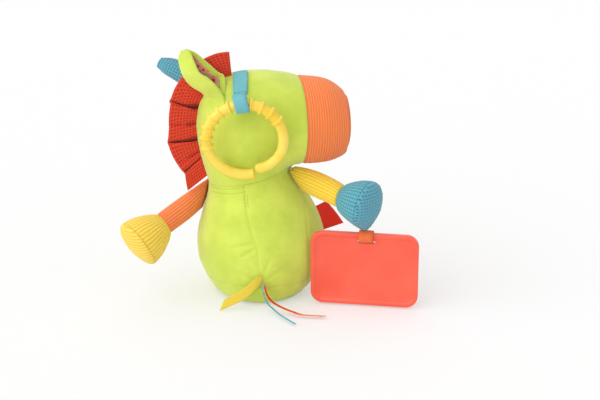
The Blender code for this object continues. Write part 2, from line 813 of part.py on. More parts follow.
def rounded_outline(width, height, corner):
    """A rectangle with round corners, anticlockwise."""
    points = []
    for quarter, (sx, sy) in enumerate(((1, 1), (-1, 1), (-1, -1), (1, -1))):
        for step in range(5):
            angle = math.pi / 2 * (quarter + step / 4)
            x = sx * (width / 2 - corner) + corner * math.cos(angle)
            y = sy * (height / 2 - corner) + corner * math.sin(angle)
            points.append((x, y))
    return points


def framed_outline(width, height, corner, border):
    """The same rectangle, larger by a border all round, or smaller where the border is negative."""
    return rounded_outline(width + 2 * border, height + 2 * border, corner + border)


def slab(name, frame, outline, low, high):
    """A flat plate between two depths along the plaque's facing direction."""
    rings = []
    for depth in (low, high):
        rings.append([frame @ Vector((x, y, depth)) for x, y in outline])
    return loft(name, rings, True, True)


def offset_outline(outline, x, y):
    return [(px + x, py + y) for px, py in outline]


def plaque_lean(fall, below_bar, behind):
    """The angle at which the plaque's lower back edge stands at the floor gap: none if it hangs clear."""
    corner = math.hypot(below_bar, behind)
    if fall >= corner:
        return 0.0
    return math.atan2(behind, below_bar) + math.acos(fall / corner)


def make_mirror():
    root, axis, up, _ = RIGHT_ARM
    rim = root + axis * ARM_LENGTH - up * SOLE_RADIUS
    tip = rim + axis * KNIT_WALL - up * (2 * GAP)
    along = Vector((-math.cos(PLAQUE_YAW), math.sin(PLAQUE_YAW), 0))
    half = PLAQUE_THICKNESS / 2
    slot_y = PLAQUE_HEIGHT / 2 - SLOT_BELOW_TOP
    bar_height = SLOT_BELOW_TOP - SLOT_HEIGHT / 2
    bar_y = PLAQUE_HEIGHT / 2 - bar_height / 2
    bar = tip - Z_AXIS * PLAQUE_BELOW_HOOF
    lean = plaque_lean(bar.z - PLAQUE_FLOOR_GAP, bar_y + PLAQUE_HEIGHT / 2, half + BEZEL_THICKNESS)
    level = Vector((math.sin(PLAQUE_YAW), math.cos(PLAQUE_YAW), 0))
    rise = Z_AXIS * math.cos(lean) - level * math.sin(lean)
    facing = level * math.cos(lean) + Z_AXIS * math.sin(lean)
    centre = bar - rise * bar_y - along * SLOT_OFF_CENTRE
    frame = Matrix.Translation(centre) @ Matrix((along, rise, facing)).transposed().to_4x4()

    strap_empty = joint_empty("mirror_strap_swing", tip, RIGHT_ARM_SWING)
    mirror_empty = joint_empty("mirror_swing", bar, strap_empty)
    bend = math.hypot(bar_height, PLAQUE_THICKNESS) / 2 + STRAP_BAR_CLEARANCE
    band = ribbon_loop("mirror_strap", tip, bar, along, bend, MIRROR_STRAP_WIDTH)
    part("mirror_strap", band, finish("orange", 0.5), strap_empty)

    outline = rounded_outline(PLAQUE_WIDTH, PLAQUE_HEIGHT, PLAQUE_CORNER)
    plate = slab("mirror_back", frame, outline, -half, half)
    back = part("mirror_back", plate, finish("coral", 0.4), mirror_empty)
    inner = framed_outline(PLAQUE_WIDTH, PLAQUE_HEIGHT, PLAQUE_CORNER, -PLAQUE_RIM)
    recess = cutter("rim_recess", slab("rim_recess", frame, inner, half - PLAQUE_RECESS, 2 * half))
    slot_outline = rounded_outline(SLOT_WIDTH, SLOT_HEIGHT, SLOT_HEIGHT * 0.45)
    slot_outline = offset_outline(slot_outline, SLOT_OFF_CENTRE, slot_y)
    slot_hole = cutter("strap_slot", slab("strap_slot", frame, slot_outline, -2 * half, 2 * half))
    pocket = rounded_outline(MIRROR_WIDTH, MIRROR_HEIGHT, PLAQUE_RIM)
    pocket = offset_outline(pocket, 0, -MIRROR_BELOW_CENTRE)
    depth = MIRROR_THICKNESS + GAP
    pocket = cutter("mirror_pocket", slab("mirror_pocket", frame, pocket, -2 * half, -half + depth))
    cut(back, recess, slot_hole, pocket)

    glass = framed_outline(MIRROR_WIDTH, MIRROR_HEIGHT, PLAQUE_RIM, -GAP)
    glass = offset_outline(glass, 0, -MIRROR_BELOW_CENTRE)
    part(
        "mirror_sheet",
        slab("mirror_sheet", frame, glass, -half, -half + MIRROR_THICKNESS),
        finish("mirror", 0.03, 1.0),
        mirror_empty,
    )
    outer_frame = framed_outline(MIRROR_WIDTH, MIRROR_HEIGHT, PLAQUE_RIM, BEZEL_FRAME)
    outer_frame = offset_outline(outer_frame, 0, -MIRROR_BELOW_CENTRE)
    low = -half - GAP - BEZEL_THICKNESS
    bezel = slab("mirror_bezel", frame, outer_frame, low, -half - GAP)
    bezel = part("mirror_bezel", bezel, finish("coral", 0.4), mirror_empty)
    window = framed_outline(MIRROR_WIDTH, MIRROR_HEIGHT, PLAQUE_RIM, -BEZEL_LIP)
    window = offset_outline(window, 0, -MIRROR_BELOW_CENTRE)
    cut(bezel, cutter("bezel_window", slab("bezel_window", frame, window, 3 * low, 0)))

    say_joint(strap_empty.name, tip, along)
    say_joint(mirror_empty.name, bar, along)


make_mirror()

# Side tab and tail

def make_side_tab():
    rows = []
    for step in range(4):
        height = TAB_TOP_HEIGHT - TAB_WIDTH * step / 3
        centre, radius, _ = body_section(height)
        seam = centre + Vector((-math.sqrt(radius**2 - TAB_SEAM_Y**2), TAB_SEAM_Y, 0))
        reach = TAB_TOP_REACH.lerp(TAB_BOTTOM_REACH, step / 3)
        rows.append([seam + reach * share for share in (-0.2, 0.2, 0.6, 1)])
    tab = part("side_tab", sheet("side_tab", rows), finish("red", 0.5))
    thick = tab.modifiers.new("thickness", "SOLIDIFY")
    thick.thickness = TAB_THICKNESS
    thick.offset = 0
    cut(tab, BODY_ROOM)


make_side_tab()

TAIL = {
    # layer in the seam, share of a right angle that it lies down by, then its middle line behind the seam
    "yellow": (-1, 0.25, [(0.007, 0.0063, 0.022), (0.022, 0.0093, 0.015), (0.037, 0.0103, 0.009)]),
    "teal": (0, 0.95, [
        (-0.003, 0.0103, 0.019), (-0.008, 0.0193, 0.008), (-0.020, 0.0293, 0.0025), (-0.034, 0.0393, 0.0012)
    ]),
    "orange": (1, 0.95, [
        (-0.012, 0.0038, 0.017), (-0.028, 0.0098, 0.007), (-0.046, 0.0148, 0.0025), (-0.062, 0.0163, 0.0012)
    ]),
}


def tail_joint():
    """The tail's joint stands on the back seam, just clear of the body at the ribbons' top edge."""
    top = TAIL_HEIGHT + TAIL_RIBBON_WIDTH / 2
    seam_y = body_section(top)[1] * body_depth_share(top) + 2 * GAP
    place = Vector((TAIL_X, seam_y, TAIL_HEIGHT))
    say_joint("tail_swing", place, Z_AXIS)
    return joint_empty("tail_swing", place)


TAIL_SWING = tail_joint()


def make_tail(colour, layer, lie_down, route):
    """A ribbon that leaves the seam on edge and turns flat by lie_down of a right angle."""
    start = TAIL_SWING.location - X_AXIS * (TAIL_LAYER * layer)
    behind = [Vector((x, start.y + y, z)) for x, y, z in route]
    points = spline([start, start + Y_AXIS * 0.003, *behind], 16)
    rings = []
    for step, point in enumerate(points):
        share = step / (len(points) - 1)
        forward = Y_AXIS
        if step:
            forward = (points[min(step + 1, len(points) - 1)] - points[step - 1]).normalized()
        level = forward.cross(Z_AXIS).normalized()
        turn = math.pi / 2 * lie_down * min(max((share - 0.3) / 0.45, 0), 1)
        wide = Z_AXIS * math.cos(turn) + level * math.sin(turn)
        edge = wide * (TAIL_RIBBON_WIDTH / 2)
        face = forward.cross(wide).normalized() * (RIBBON_THICKNESS / 2)
        rings.append([point - edge - face, point + edge - face, point + edge + face, point - edge + face])
    name = f"tail_ribbon_{colour}"
    part(name, loft(name, rings, True, True), finish(colour, 0.5), TAIL_SWING)


for colour, (layer, lie_down, route) in TAIL.items():
    make_tail(colour, layer, lie_down, route)

say_joint(HEAD_TURN.name, NECK_CENTRE, NECK_NORMAL)
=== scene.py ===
# %% [markdown]
# # A stuffed pony: from plain solids to cloth
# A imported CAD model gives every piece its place, its size and its joints.
# This lesson dresses it: fibre-filled forms are inflated as cloth, knitted relief is real geometry,
# ribbons are woven, and the plastic pieces get rounded edges. Lengths are in metres.

# %% Load the frame
import json
import math

import bmesh
import bpy
import numpy as np
from mathutils import Matrix, Vector
from mathutils.bvhtree import BVHTree

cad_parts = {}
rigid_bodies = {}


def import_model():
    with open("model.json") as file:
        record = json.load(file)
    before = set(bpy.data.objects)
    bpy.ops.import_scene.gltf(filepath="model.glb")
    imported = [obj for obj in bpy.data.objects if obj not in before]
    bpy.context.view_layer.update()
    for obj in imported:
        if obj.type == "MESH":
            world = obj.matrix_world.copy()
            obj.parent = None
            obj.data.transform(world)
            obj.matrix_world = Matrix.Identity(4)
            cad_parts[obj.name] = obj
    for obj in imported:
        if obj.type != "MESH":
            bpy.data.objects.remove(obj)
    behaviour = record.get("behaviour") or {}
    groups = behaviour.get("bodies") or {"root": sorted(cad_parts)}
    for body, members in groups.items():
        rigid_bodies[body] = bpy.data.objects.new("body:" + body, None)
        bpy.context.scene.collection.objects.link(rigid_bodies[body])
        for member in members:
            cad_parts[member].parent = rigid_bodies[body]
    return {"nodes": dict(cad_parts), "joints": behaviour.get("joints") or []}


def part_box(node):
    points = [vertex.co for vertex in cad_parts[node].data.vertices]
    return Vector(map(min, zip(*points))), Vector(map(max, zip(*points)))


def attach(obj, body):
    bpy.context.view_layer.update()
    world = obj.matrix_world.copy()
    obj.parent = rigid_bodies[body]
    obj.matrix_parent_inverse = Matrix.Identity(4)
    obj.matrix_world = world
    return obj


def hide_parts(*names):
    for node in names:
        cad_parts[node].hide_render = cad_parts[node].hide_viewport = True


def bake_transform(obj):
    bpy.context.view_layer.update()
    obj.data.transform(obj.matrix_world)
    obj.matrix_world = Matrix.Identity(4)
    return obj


for thing in list(bpy.data.objects):
    bpy.data.objects.remove(thing)
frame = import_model()
NODES = frame["nodes"]
JOINTS = {joint["name"]: joint for joint in frame["joints"]}
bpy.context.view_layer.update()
X_AXIS = Vector((1, 0, 0))
Y_AXIS = Vector((0, 1, 0))
Z_AXIS = Vector((0, 0, 1))


def linked(name, data):
    """A new object in the scene."""
    obj = bpy.data.objects.new(name, data)
    bpy.context.scene.collection.objects.link(obj)
    return obj


def joint_place(name):
    return Vector(JOINTS[name]["pos_m"])


def unit(value):
    """A number, kept from 0 to 1."""
    return min(max(value, 0), 1)


def run_along(points):
    """How far each point of a line is from its start, along the line."""
    return np.concatenate([[0], np.cumsum(np.linalg.norm(np.diff(points, axis=0), axis=1))])


# %% [markdown]
# ## Shader sums
# A material is a small sum: noise plus ribs, times a colour. `Wire` stands for one shader socket, so the
# sums below read like sums, and its `node` method adds any other shader node.


# %% Shader sums
class Wire:
    """A shader socket. Arithmetic on it adds Math nodes to its tree."""

    def __init__(self, tree, socket=None):
        self.tree = tree
        self.socket = socket

    def node(self, kind, settings=None, sockets=None, out=0):
        """Adds a node, sets its properties, and links or sets its sockets."""
        made = self.tree.nodes.new(kind)
        for name, value in (settings or {}).items():
            setattr(made, name, value)
        for name, value in (sockets or {}).items():
            self.give(made.inputs[name], value)
        return Wire(self.tree, made.outputs[out])

    def give(self, socket, value):
        if isinstance(value, Wire):
            self.tree.links.new(value.socket, socket)
        else:
            socket.default_value = value

    def math(self, operation, *others):
        values = dict(enumerate([self, *others]))
        return self.node("ShaderNodeMath", {"operation": operation}, values)

    def __add__(self, other):
        return self.math("ADD", other)

    def __sub__(self, other):
        return self.math("SUBTRACT", other)

    def __rsub__(self, other):
        return (self * -1) + other

    def __mul__(self, other):
        return self.math("MULTIPLY", other)

    def __truediv__(self, other):
        return self.math("DIVIDE", other)

    def __pow__(self, other):
        return self.math("POWER", other)

    __radd__ = __add__
    __rmul__ = __mul__

    def clamp(self):
        return self.node("ShaderNodeClamp", sockets={"Value": self})

    def step(self, low, high):
        """0 below low, 1 above high, and smooth between."""
        sockets = {"Value": self, "From Min": low, "From Max": high}
        return self.node("ShaderNodeMapRange", {"interpolation_type": "SMOOTHSTEP"}, sockets)

    def mix(self, low, high):
        """A colour between two colours, by this value."""
        sockets = {0: self, 6: low, 7: high}
        return self.node("ShaderNodeMix", {"data_type": "RGBA"}, sockets, out=2)


def linear(red, green, blue):
    """A screen colour from 0 to 255 as the linear colour that shaders use."""
    values = [c / 255 for c in (red, green, blue)]
    values = [c / 12.92 if c < 0.04045 else ((c + 0.055) / 1.055) ** 2.4 for c in values]
    return (*values, 1)


def new_material(name, roughness, sheen=0.0, **constants):
    """A Principled material, its shader node and a wire to build on."""
    material = bpy.data.materials.new(name)
    material.use_nodes = True
    shader = material.node_tree.nodes["Principled BSDF"]
    shader.inputs["Roughness"].default_value = roughness
    shader.inputs["Sheen Weight"].default_value = sheen
    shader.inputs["Sheen Roughness"].default_value = 0.5
    for socket, value in constants.items():
        shader.inputs[socket.replace("_", " ")].default_value = value
    return material, shader, Wire(material.node_tree)


def object_place(wire):
    return wire.node("ShaderNodeTexCoord", out="Object")


def noise(wire, scale, detail=2.0):
    """Cloudy noise, about 0 to 1, of so many blobs to the metre."""
    sockets = {"Vector": object_place(wire), "Scale": scale, "Detail": detail}
    return wire.node("ShaderNodeTexNoise", sockets=sockets)


def bump(wire, shader, height, distance, strength=1.0):
    sockets = {"Height": height, "Distance": distance, "Strength": strength}
    wire.give(shader.inputs["Normal"], wire.node("ShaderNodeBump", sockets=sockets))


def cloth_place(wire):
    """The two distances, in metres, along a piece of cloth."""
    uv = wire.node("ShaderNodeUVMap", {"uv_map": "cloth"})
    apart = wire.node("ShaderNodeSeparateXYZ", sockets={"Vector": uv}).socket.node
    return Wire(wire.tree, apart.outputs["X"]), Wire(wire.tree, apart.outputs["Y"])


def wave(distance, pitch):
    """0 in the furrow and 1 on the ridge, once in each pitch."""
    return (distance * (2 * math.pi / pitch)).math("COSINE") * 0.5 + 0.5


# %% [markdown]
# ## Fabrics
# Velour is a soft pile: its colour drifts where the pile leans, and light catches it at the edges, which
# is what sheen does. Corduroy, rib and waffle knit take their colour from the same distances that their
# relief is made from, so painted shade makes the furrows and pits darker exactly where the mesh dips.

# %% Fabrics
CORD_PITCH = 0.0025
RIB_PITCH = 0.0031
WAFFLE_PITCH = 0.0030
# the painted shade in the pockets of the mane's pleats: its sharp side, its fade near its reach from the
# seam, and its colour
POCKET_SHARP = 0.0010
POCKET_FADE = 0.004
PAINTED_POCKET_SHADE = linear(70, 4, 2)
# blobs of noise, or checks, to the metre
PILE_LEAN = 38
PILE = 1500
PILE_TUFTS = 520
RIB_YARN = 1300
WAFFLE_YARN = 1400
RIBBON_CHECKS = 1600.0
RIBBON_SLUBS = 900
PRINT_DOTS = 210.0
PLASTIC_FLOW = 30
PLASTIC_SCUFFS = 240


def velour(name, dark, light, rim):
    """Pile fabric, paler at its outline, where light catches the pile from its side."""
    material, shader, wire = new_material(name, 0.85, 0.9)
    lean = noise(wire, PILE_LEAN, 3).step(0.3, 0.7)
    pile = noise(wire, PILE)
    wire.give(shader.inputs["Base Color"], (lean * 0.7 + pile * 0.3).mix(dark, light))
    bump(wire, shader, pile + noise(wire, PILE_TUFTS) * 0.8, 0.0006, 0.55)
    shader.inputs["Sheen Tint"].default_value = rim
    return material


def ribbed(name, furrow, ridge, pitch, along):
    """Corduroy or rib knit: ridges across the cloth's width or along it."""
    material, shader, wire = new_material(name, 0.88, 0.2, Specular_IOR_Level=0.2)
    place = cloth_place(wire)
    ridges = wave(place[1 if along else 0], pitch)
    yarn = noise(wire, RIB_YARN)
    # painted shade: the furrow colour is darker where the ribs dip; the yarn noise is the cloth's own tone
    wire.give(shader.inputs["Base Color"], (ridges * 0.75 + yarn * 0.35).clamp().mix(furrow, ridge))
    bump(wire, shader, ridges * 0.5 + yarn * 0.5, 0.0005, 0.5)
    return material


def pocket_shade(place, from_seam, pockets):
    """How much painted shade a place on a strip gets in the pocket of a pleat: sharp on one side and soft on
    the other.
    """
    shade = None
    # depth is how dark the painted shade gets, and width is how far from the seam it reaches
    for middle, soft, depth, width in pockets:
        after = (place - middle).math("MAXIMUM", 0.0) / soft
        before = (middle - place).math("MAXIMUM", 0.0) / POCKET_SHARP
        here = (1 - after * after - before * before).math("MAXIMUM", 0.0) ** 1.5 * depth
        here = here * (1 - from_seam.step(width - POCKET_FADE, width))
        shade = here if shade is None else shade.math("MAXIMUM", here)
    return shade


def waffle(name, pit, yarn_colour, cross, pockets=()):
    """Waffle knit: yarn ridges both ways round square pits, darkened with painted shade. cross is how much
    the cross ridges show, and pockets say where pleats get painted shade.
    """
    material, shader, wire = new_material(name, 0.88, 0.2, Specular_IOR_Level=0.2)
    across, along = cloth_place(wire)
    lines = 1 - wave(across, WAFFLE_PITCH)
    pits = lines.math("MINIMUM", (1 - wave(along, WAFFLE_PITCH)) * cross + (1 - cross))
    yarn = noise(wire, WAFFLE_YARN)
    ridge = (1 - pits) * 0.8 + yarn * 0.3
    # painted shade: the pit colour is darker where the mesh dips between the yarn ridges
    colour = ridge.step(0.1, 0.95).mix(pit, yarn_colour)
    # painted shade in the pockets of the mane's pleats
    if pockets:
        colour = pocket_shade(across, along, pockets).mix(colour, PAINTED_POCKET_SHADE)
    wire.give(shader.inputs["Base Color"], colour)
    bump(wire, shader, ridge, 0.0006, 0.6)
    return material


def woven_ribbon(name, dark, light, roughness):
    """Close-woven ribbon: fine threads both ways, and a little gloss."""
    material, shader, wire = new_material(name, roughness, Specular_IOR_Level=0.15)
    sockets = {"Vector": object_place(wire), "Scale": RIBBON_CHECKS}
    checks = wire.node("ShaderNodeTexChecker", sockets=sockets, out="Fac")
    thread = checks * 0.4 + noise(wire, RIBBON_SLUBS) * 0.6
    wire.give(shader.inputs["Base Color"], thread.mix(dark, light))
    bump(wire, shader, thread, 0.0003, 0.35)
    return material


def printed(name):
    """Cotton with a generic print: dots of three colours on warm cloth."""
    material, shader, wire = new_material(name, 0.85, 0.1)
    cell = {"Vector": object_place(wire), "Scale": PRINT_DOTS, "Randomness": 0.7}
    distance = wire.node("ShaderNodeTexVoronoi", {"feature": "F1"}, cell, out="Distance")
    tone = wire.node("ShaderNodeTexVoronoi", {"feature": "F1"}, cell, out="Color")
    pick = wire.node("ShaderNodeSeparateColor", sockets={"Color": tone})
    spots = pick.step(0.36, 0.38).mix(linear(112, 140, 190), linear(196, 48, 78))
    spots = pick.step(0.7, 0.72).mix(spots, linear(166, 172, 112))
    ground = noise(wire, 60).step(0.4, 0.6).mix(linear(226, 112, 98), linear(238, 150, 124))
    wire.give(shader.inputs["Base Color"], distance.step(0.50, 0.42).mix(ground, spots))
    bump(wire, shader, noise(wire, PILE), 0.0003, 0.4)
    return material


def moulded(name, dark, light, roughness, coat):
    """Moulded plastic: nearly even colour, a faint flow and fine scuffs in the gloss."""
    material, shader, wire = new_material(name, roughness, Coat_Roughness=0.2, Coat_Weight=coat)
    wire.give(shader.inputs["Base Color"], noise(wire, PLASTIC_FLOW, 3).step(0.25, 0.75).mix(dark, light))
    wire.give(shader.inputs["Roughness"], noise(wire, PLASTIC_SCUFFS, 4) * 0.18 + (roughness - 0.09))
    bump(wire, shader, noise(wire, 700), 0.00015, 0.2)
    return material


LIME = velour("lime velour", linear(193, 213, 70), linear(218, 234, 92), linear(245, 250, 190))
# each knit's first colour is its furrow or pit, darkened as painted shade, and its second is its ridge
CORD = ribbed("orange corduroy", linear(238, 114, 58), linear(255, 150, 88), CORD_PITCH, True)
LEFT_SLEEVE = ribbed("orange rib knit", linear(230, 110, 58), linear(255, 150, 92), RIB_PITCH, False)
RIGHT_SLEEVE = ribbed("yellow rib knit", linear(238, 190, 48), linear(255, 224, 84), RIB_PITCH, False)
TEAL_WAFFLE = waffle("teal waffle knit", linear(66, 128, 148), linear(102, 176, 192), 0.8)
TEAL_SOLE = waffle("teal sole", linear(58, 116, 138), linear(102, 172, 190), 1.0)
YELLOW_WAFFLE = waffle("yellow waffle knit", linear(232, 190, 62), linear(255, 222, 100), 0.35)
TEAL_RIBBON = woven_ribbon("teal ribbon", linear(96, 168, 176), linear(128, 200, 206), 0.55)
ORANGE_RIBBON = woven_ribbon("orange ribbon", linear(226, 96, 50), linear(255, 134, 80), 0.55)
YELLOW_RIBBON = woven_ribbon("yellow ribbon", linear(222, 190, 58), linear(246, 222, 88), 0.55)
RED_SATIN = woven_ribbon("red satin", linear(218, 32, 8), linear(244, 50, 16), 0.5)
PRINT = printed("printed cotton")
RING_PLASTIC = moulded("yellow plastic", linear(248, 208, 44), linear(253, 226, 92), 0.34, 0.25)
PLAQUE_PLASTIC = moulded("coral plastic", linear(246, 88, 62), linear(254, 100, 74), 0.4, 0.15)
BROWN_THREAD = woven_ribbon("brown thread", linear(62, 34, 22), linear(92, 54, 36), 0.7)
LIME_THREAD = woven_ribbon("lime thread", linear(182, 202, 72), linear(206, 222, 96), 0.7)
TEAL_THREAD = woven_ribbon("teal thread", linear(84, 152, 162), linear(112, 182, 190), 0.7)
DARK_THREAD = woven_ribbon("dark thread", linear(30, 24, 24), linear(64, 54, 52), 0.55)
MIRROR, mirror_shader, mirror_wire = new_material("mirror film", 0.04, Metallic=1.0)
silver = noise(mirror_wire, 20).mix(linear(226, 230, 232), linear(240, 242, 244))
mirror_wire.give(mirror_shader.inputs["Base Color"], silver)
print("materials:", len(bpy.data.materials))

# %% [markdown]
# ## Inflating the forms
# A stuffed toy is a bag of cloth pulled tight over fibre. Each form starts as one skin round its CAD
# solids. The skin is drawn in a little, held where a seam holds it, and inflated by Blender's cloth solver.
# What the solver moves is capped, so the skin stays where the CAD piece is.

# %% Inflate the forms
FINER_LEVELS = 2
SHRINK = 0.0003
SWELL_CAP = 0.006
CLOTH_FRAMES = 20
CLOTH = {
    "quality": 4,
    "mass": 0.2,
    "tension_stiffness": 12,
    "compression_stiffness": 12,
    "bending_stiffness": 0.4,
    "use_pressure": True,
    "uniform_pressure_force": 4.0,
    "vertex_group_mass": "seams",
}


def skin_of(name, nodes, voxel, smoothing):
    """One closed skin round several CAD solids, smoothed of its steps."""
    bm = bmesh.new()
    for node in nodes:
        bm.from_mesh(NODES[node].data)
    mesh = bpy.data.meshes.new(name)
    bm.to_mesh(mesh)
    bm.free()
    obj = linked(name, mesh)
    remesh = obj.modifiers.new("skin", "REMESH")
    remesh.mode = "VOXEL"
    remesh.voxel_size = voxel
    smooth = obj.modifiers.new("smooth", "SMOOTH")
    smooth.factor = 0.5
    smooth.iterations = smoothing
    settle(obj)
    return obj


def settle(obj):
    """Applies every modifier of an object."""
    bpy.context.view_layer.update()
    ready = obj.evaluated_get(bpy.context.evaluated_depsgraph_get())
    mesh = bpy.data.meshes.new_from_object(ready)
    obj.modifiers.clear()
    old = obj.data
    obj.data = mesh
    bpy.data.meshes.remove(old)


def points_of(mesh):
    found = np.zeros(len(mesh.vertices) * 3)
    mesh.vertices.foreach_get("co", found)
    return found.reshape(-1, 3)


def normals_of(mesh):
    found = np.zeros(len(mesh.vertices) * 3, np.float32)
    mesh.vertex_normals.foreach_get("vector", found)
    return found.reshape(-1, 3)


def put_points(mesh, points):
    mesh.vertices.foreach_set("co", np.ascontiguousarray(points).ravel())
    mesh.update()


def inflate(obj, held):
    """Swells a skin like a stuffed bag. held says which points a seam holds."""
    points = points_of(obj.data)
    start = points - normals_of(obj.data) * SHRINK
    put_points(obj.data, start)
    pins = obj.vertex_groups.new(name="seams")
    pins.add([int(i) for i in np.flatnonzero(held(points))], 1.0, "REPLACE")
    cloth = obj.modifiers.new("cloth", "CLOTH")
    for setting, value in CLOTH.items():
        setattr(cloth.settings, setting, value)
    cloth.settings.effector_weights.gravity = 0
    cloth.collision_settings.use_collision = False
    for number in range(1, CLOTH_FRAMES + 1):
        bpy.context.scene.frame_set(number)
    settle(obj)
    bpy.context.scene.frame_set(1)
    move = points_of(obj.data) - start
    size = np.linalg.norm(move, axis=1, keepdims=True)
    put_points(obj.data, start + move * np.minimum(1, SWELL_CAP / np.maximum(size, 1e-9)))
    return obj


def finer(obj):
    subdivide = obj.modifiers.new("finer", "SUBSURF")
    subdivide.levels = FINER_LEVELS
    subdivide.render_levels = FINER_LEVELS
    settle(obj)
    return obj


def tree_of(obj):
    faces = [list(face.vertices) for face in obj.data.polygons]
    return BVHTree.FromPolygons([v.co.copy() for v in obj.data.vertices], faces)


def middle(node):
    low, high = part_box(node)
    return (low + high) / 2


def reach(node, axis):
    """How far a CAD node reaches along a direction: its least and greatest distance."""
    along = points_of(NODES[node].data) @ np.array(axis)
    return float(along.min()), float(along.max())


NECK = joint_place("head_turn")
NECK_AXIS = Vector(JOINTS["head_turn"]["axis"])
NECK_HEIGHT = NECK.dot(NECK_AXIS)
SNOUT = middle("muzzle_end_panel") - middle("muzzle_cover")
SNOUT = Vector((SNOUT.x, SNOUT.y, 0)).normalized()
MUZZLE_SEAM, MUZZLE_END_SEAM = reach("muzzle_cover", SNOUT)
BASE_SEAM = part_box("base_panel")[1].z
SEAM_HOLD = 0.003


def near_plane(points, axis, distance):
    return np.abs(points @ np.array(axis) - distance) < SEAM_HOLD


def seams_hold(points):
    """The points of the skin that a seam or the floor holds."""
    neck = near_plane(points, NECK_AXIS, NECK_HEIGHT)
    muzzle = near_plane(points, SNOUT, MUZZLE_SEAM) | near_plane(points, SNOUT, MUZZLE_END_SEAM)
    return neck | muzzle | near_plane(points, Z_AXIS, BASE_SEAM) | (points[:, 2] < SEAM_HOLD)


SKIN_NODES = ["body_cover", "base_panel", "body_stuffing", "bean_bag"]
SKIN_NODES += ["head_cover", "head_stuffing", "muzzle_cover", "muzzle_end_panel"]
SKIN_VOXEL = 0.0045
SKIN_ROUNDS = 5
SKIN = inflate(skin_of("skin", SKIN_NODES, SKIN_VOXEL, SKIN_ROUNDS), seams_hold)
SAG_HEIGHT = 0.034
SAG = (-0.10, 0.08)
FLANK_FROM = -0.026
FLANK_LOW = 0.0015
FLANK_TOP = 0.118
FLANK_ROUNDS = 10
points = points_of(SKIN.data)
sag = np.clip(1 - points[:, 2] / SAG_HEIGHT, 0, 1)
points[:, 0] *= 1 + sag * SAG[0]
points[:, 1] *= 1 + sag * SAG[1]
points[:, 2] -= points[:, 2].min()
put_points(SKIN.data, points)
bm = bmesh.new()
bm.from_mesh(SKIN.data)
flank = [v for v in bm.verts if v.co.x < FLANK_FROM and FLANK_LOW < v.co.z < FLANK_TOP]
for _ in range(FLANK_ROUNDS):
    bmesh.ops.smooth_vert(bm, verts=flank, factor=0.5, use_axis_x=True, use_axis_y=True, use_axis_z=True)
bm.to_mesh(SKIN.data)
bm.free()
print("skin of", len(SKIN.data.polygons), "faces")

# %% [markdown]
# ## Cutting the skins at their seams
# A sewn seam is a small valley. The fine skin is pulled in beside each seam, cut along the seam's plane and
# closed, so that head, body and base panel are pieces of their own again.

# %% Body, base panel and head
SEAM_DEPTH = 0.0010
SEAM_WIDTH = 0.0016
BASE_SEAM_DEPTH = 0.0005
NECK_GAP = 0.0003
HEAD_GAP = 0.0001
NECK_DEPTH = 0.0006
STITCHED_GAP = 0.00003
BACK_SEAM = [
    # X and Z down the middle of the back
    (0.0147, 0.1190),
    (0.0125, 0.0980),
    (0.0093, 0.0830),
    (0.0025, 0.0630),
    (0.0006, 0.0420),
    (-0.0022, 0.0300),
    (-0.0022, 0.0000),
]
BACK_SEAM_DEPTH = 0.0009
CREASES = [
    # Creases beside the back seam: X and Z of both ends, depth and half width
    (0.0270, 0.0625, 0.0050, 0.0672, 0.0016, 0.0020),
    (0.0200, 0.0525, 0.0040, 0.0622, 0.0016, 0.0020),
    (0.0180, 0.0480, 0.0020, 0.0360, 0.0012, 0.0020),
    (-0.0100, 0.0520, -0.0030, 0.0330, 0.0012, 0.0020),
    (-0.0220, 0.0400, -0.0050, 0.0290, 0.0013, 0.0022),
    (0.0220, 0.0370, 0.0010, 0.0280, 0.0013, 0.0022),
]


def valley(distance, depth, width):
    return depth * np.exp(-((distance / width) ** 2))


def back_seam_x(heights):
    line = np.array(BACK_SEAM)[::-1]
    return np.interp(heights, line[:, 1], line[:, 0])


def crease_depth(points, x0, z0, x1, z1, depth, width):
    """Depth of one crease at each point of the back, fading towards its ends."""
    start = np.array([x0, z0])
    line = np.array([x1, z1]) - start
    place = points[:, [0, 2]] - start
    share = (place @ line) / (line @ line)
    off = np.linalg.norm(place - np.outer(np.clip(share, 0, 1), line), axis=1)
    return valley(off, depth, width) * np.clip(np.sin(np.pi * np.clip(share, 0, 1)) + 0.25, 0, 1)


def everything(bm):
    return list(bm.verts) + list(bm.edges) + list(bm.faces)


def cut_closed(source, name, axis, distance, keep_above):
    """The part of a skin on one side of a plane, closed along the cut."""
    bm = bmesh.new()
    bm.from_mesh(source.data)
    made = bmesh.ops.bisect_plane(
        bm, geom=everything(bm), plane_co=Vector(axis) * distance, plane_no=axis,
        clear_outer=not keep_above, clear_inner=keep_above,
    )
    rim = [edge for edge in made["geom_cut"] if isinstance(edge, bmesh.types.BMEdge)]
    bmesh.ops.holes_fill(bm, edges=rim)
    return new_piece(name, bm)


def neck_radius(point):
    """How far a point lies from the axis that the head turns on."""
    away = point - NECK
    return (away - NECK_AXIS * away.dot(NECK_AXIS)).length


def jaw_rise(point):
    """How far the jaw is lifted for the cut at the neck, so that the cut passes below it at every turn."""
    return NECK_AXIS * (JAW_SLOPE * max(neck_radius(point) - NECK_REACH, 0))


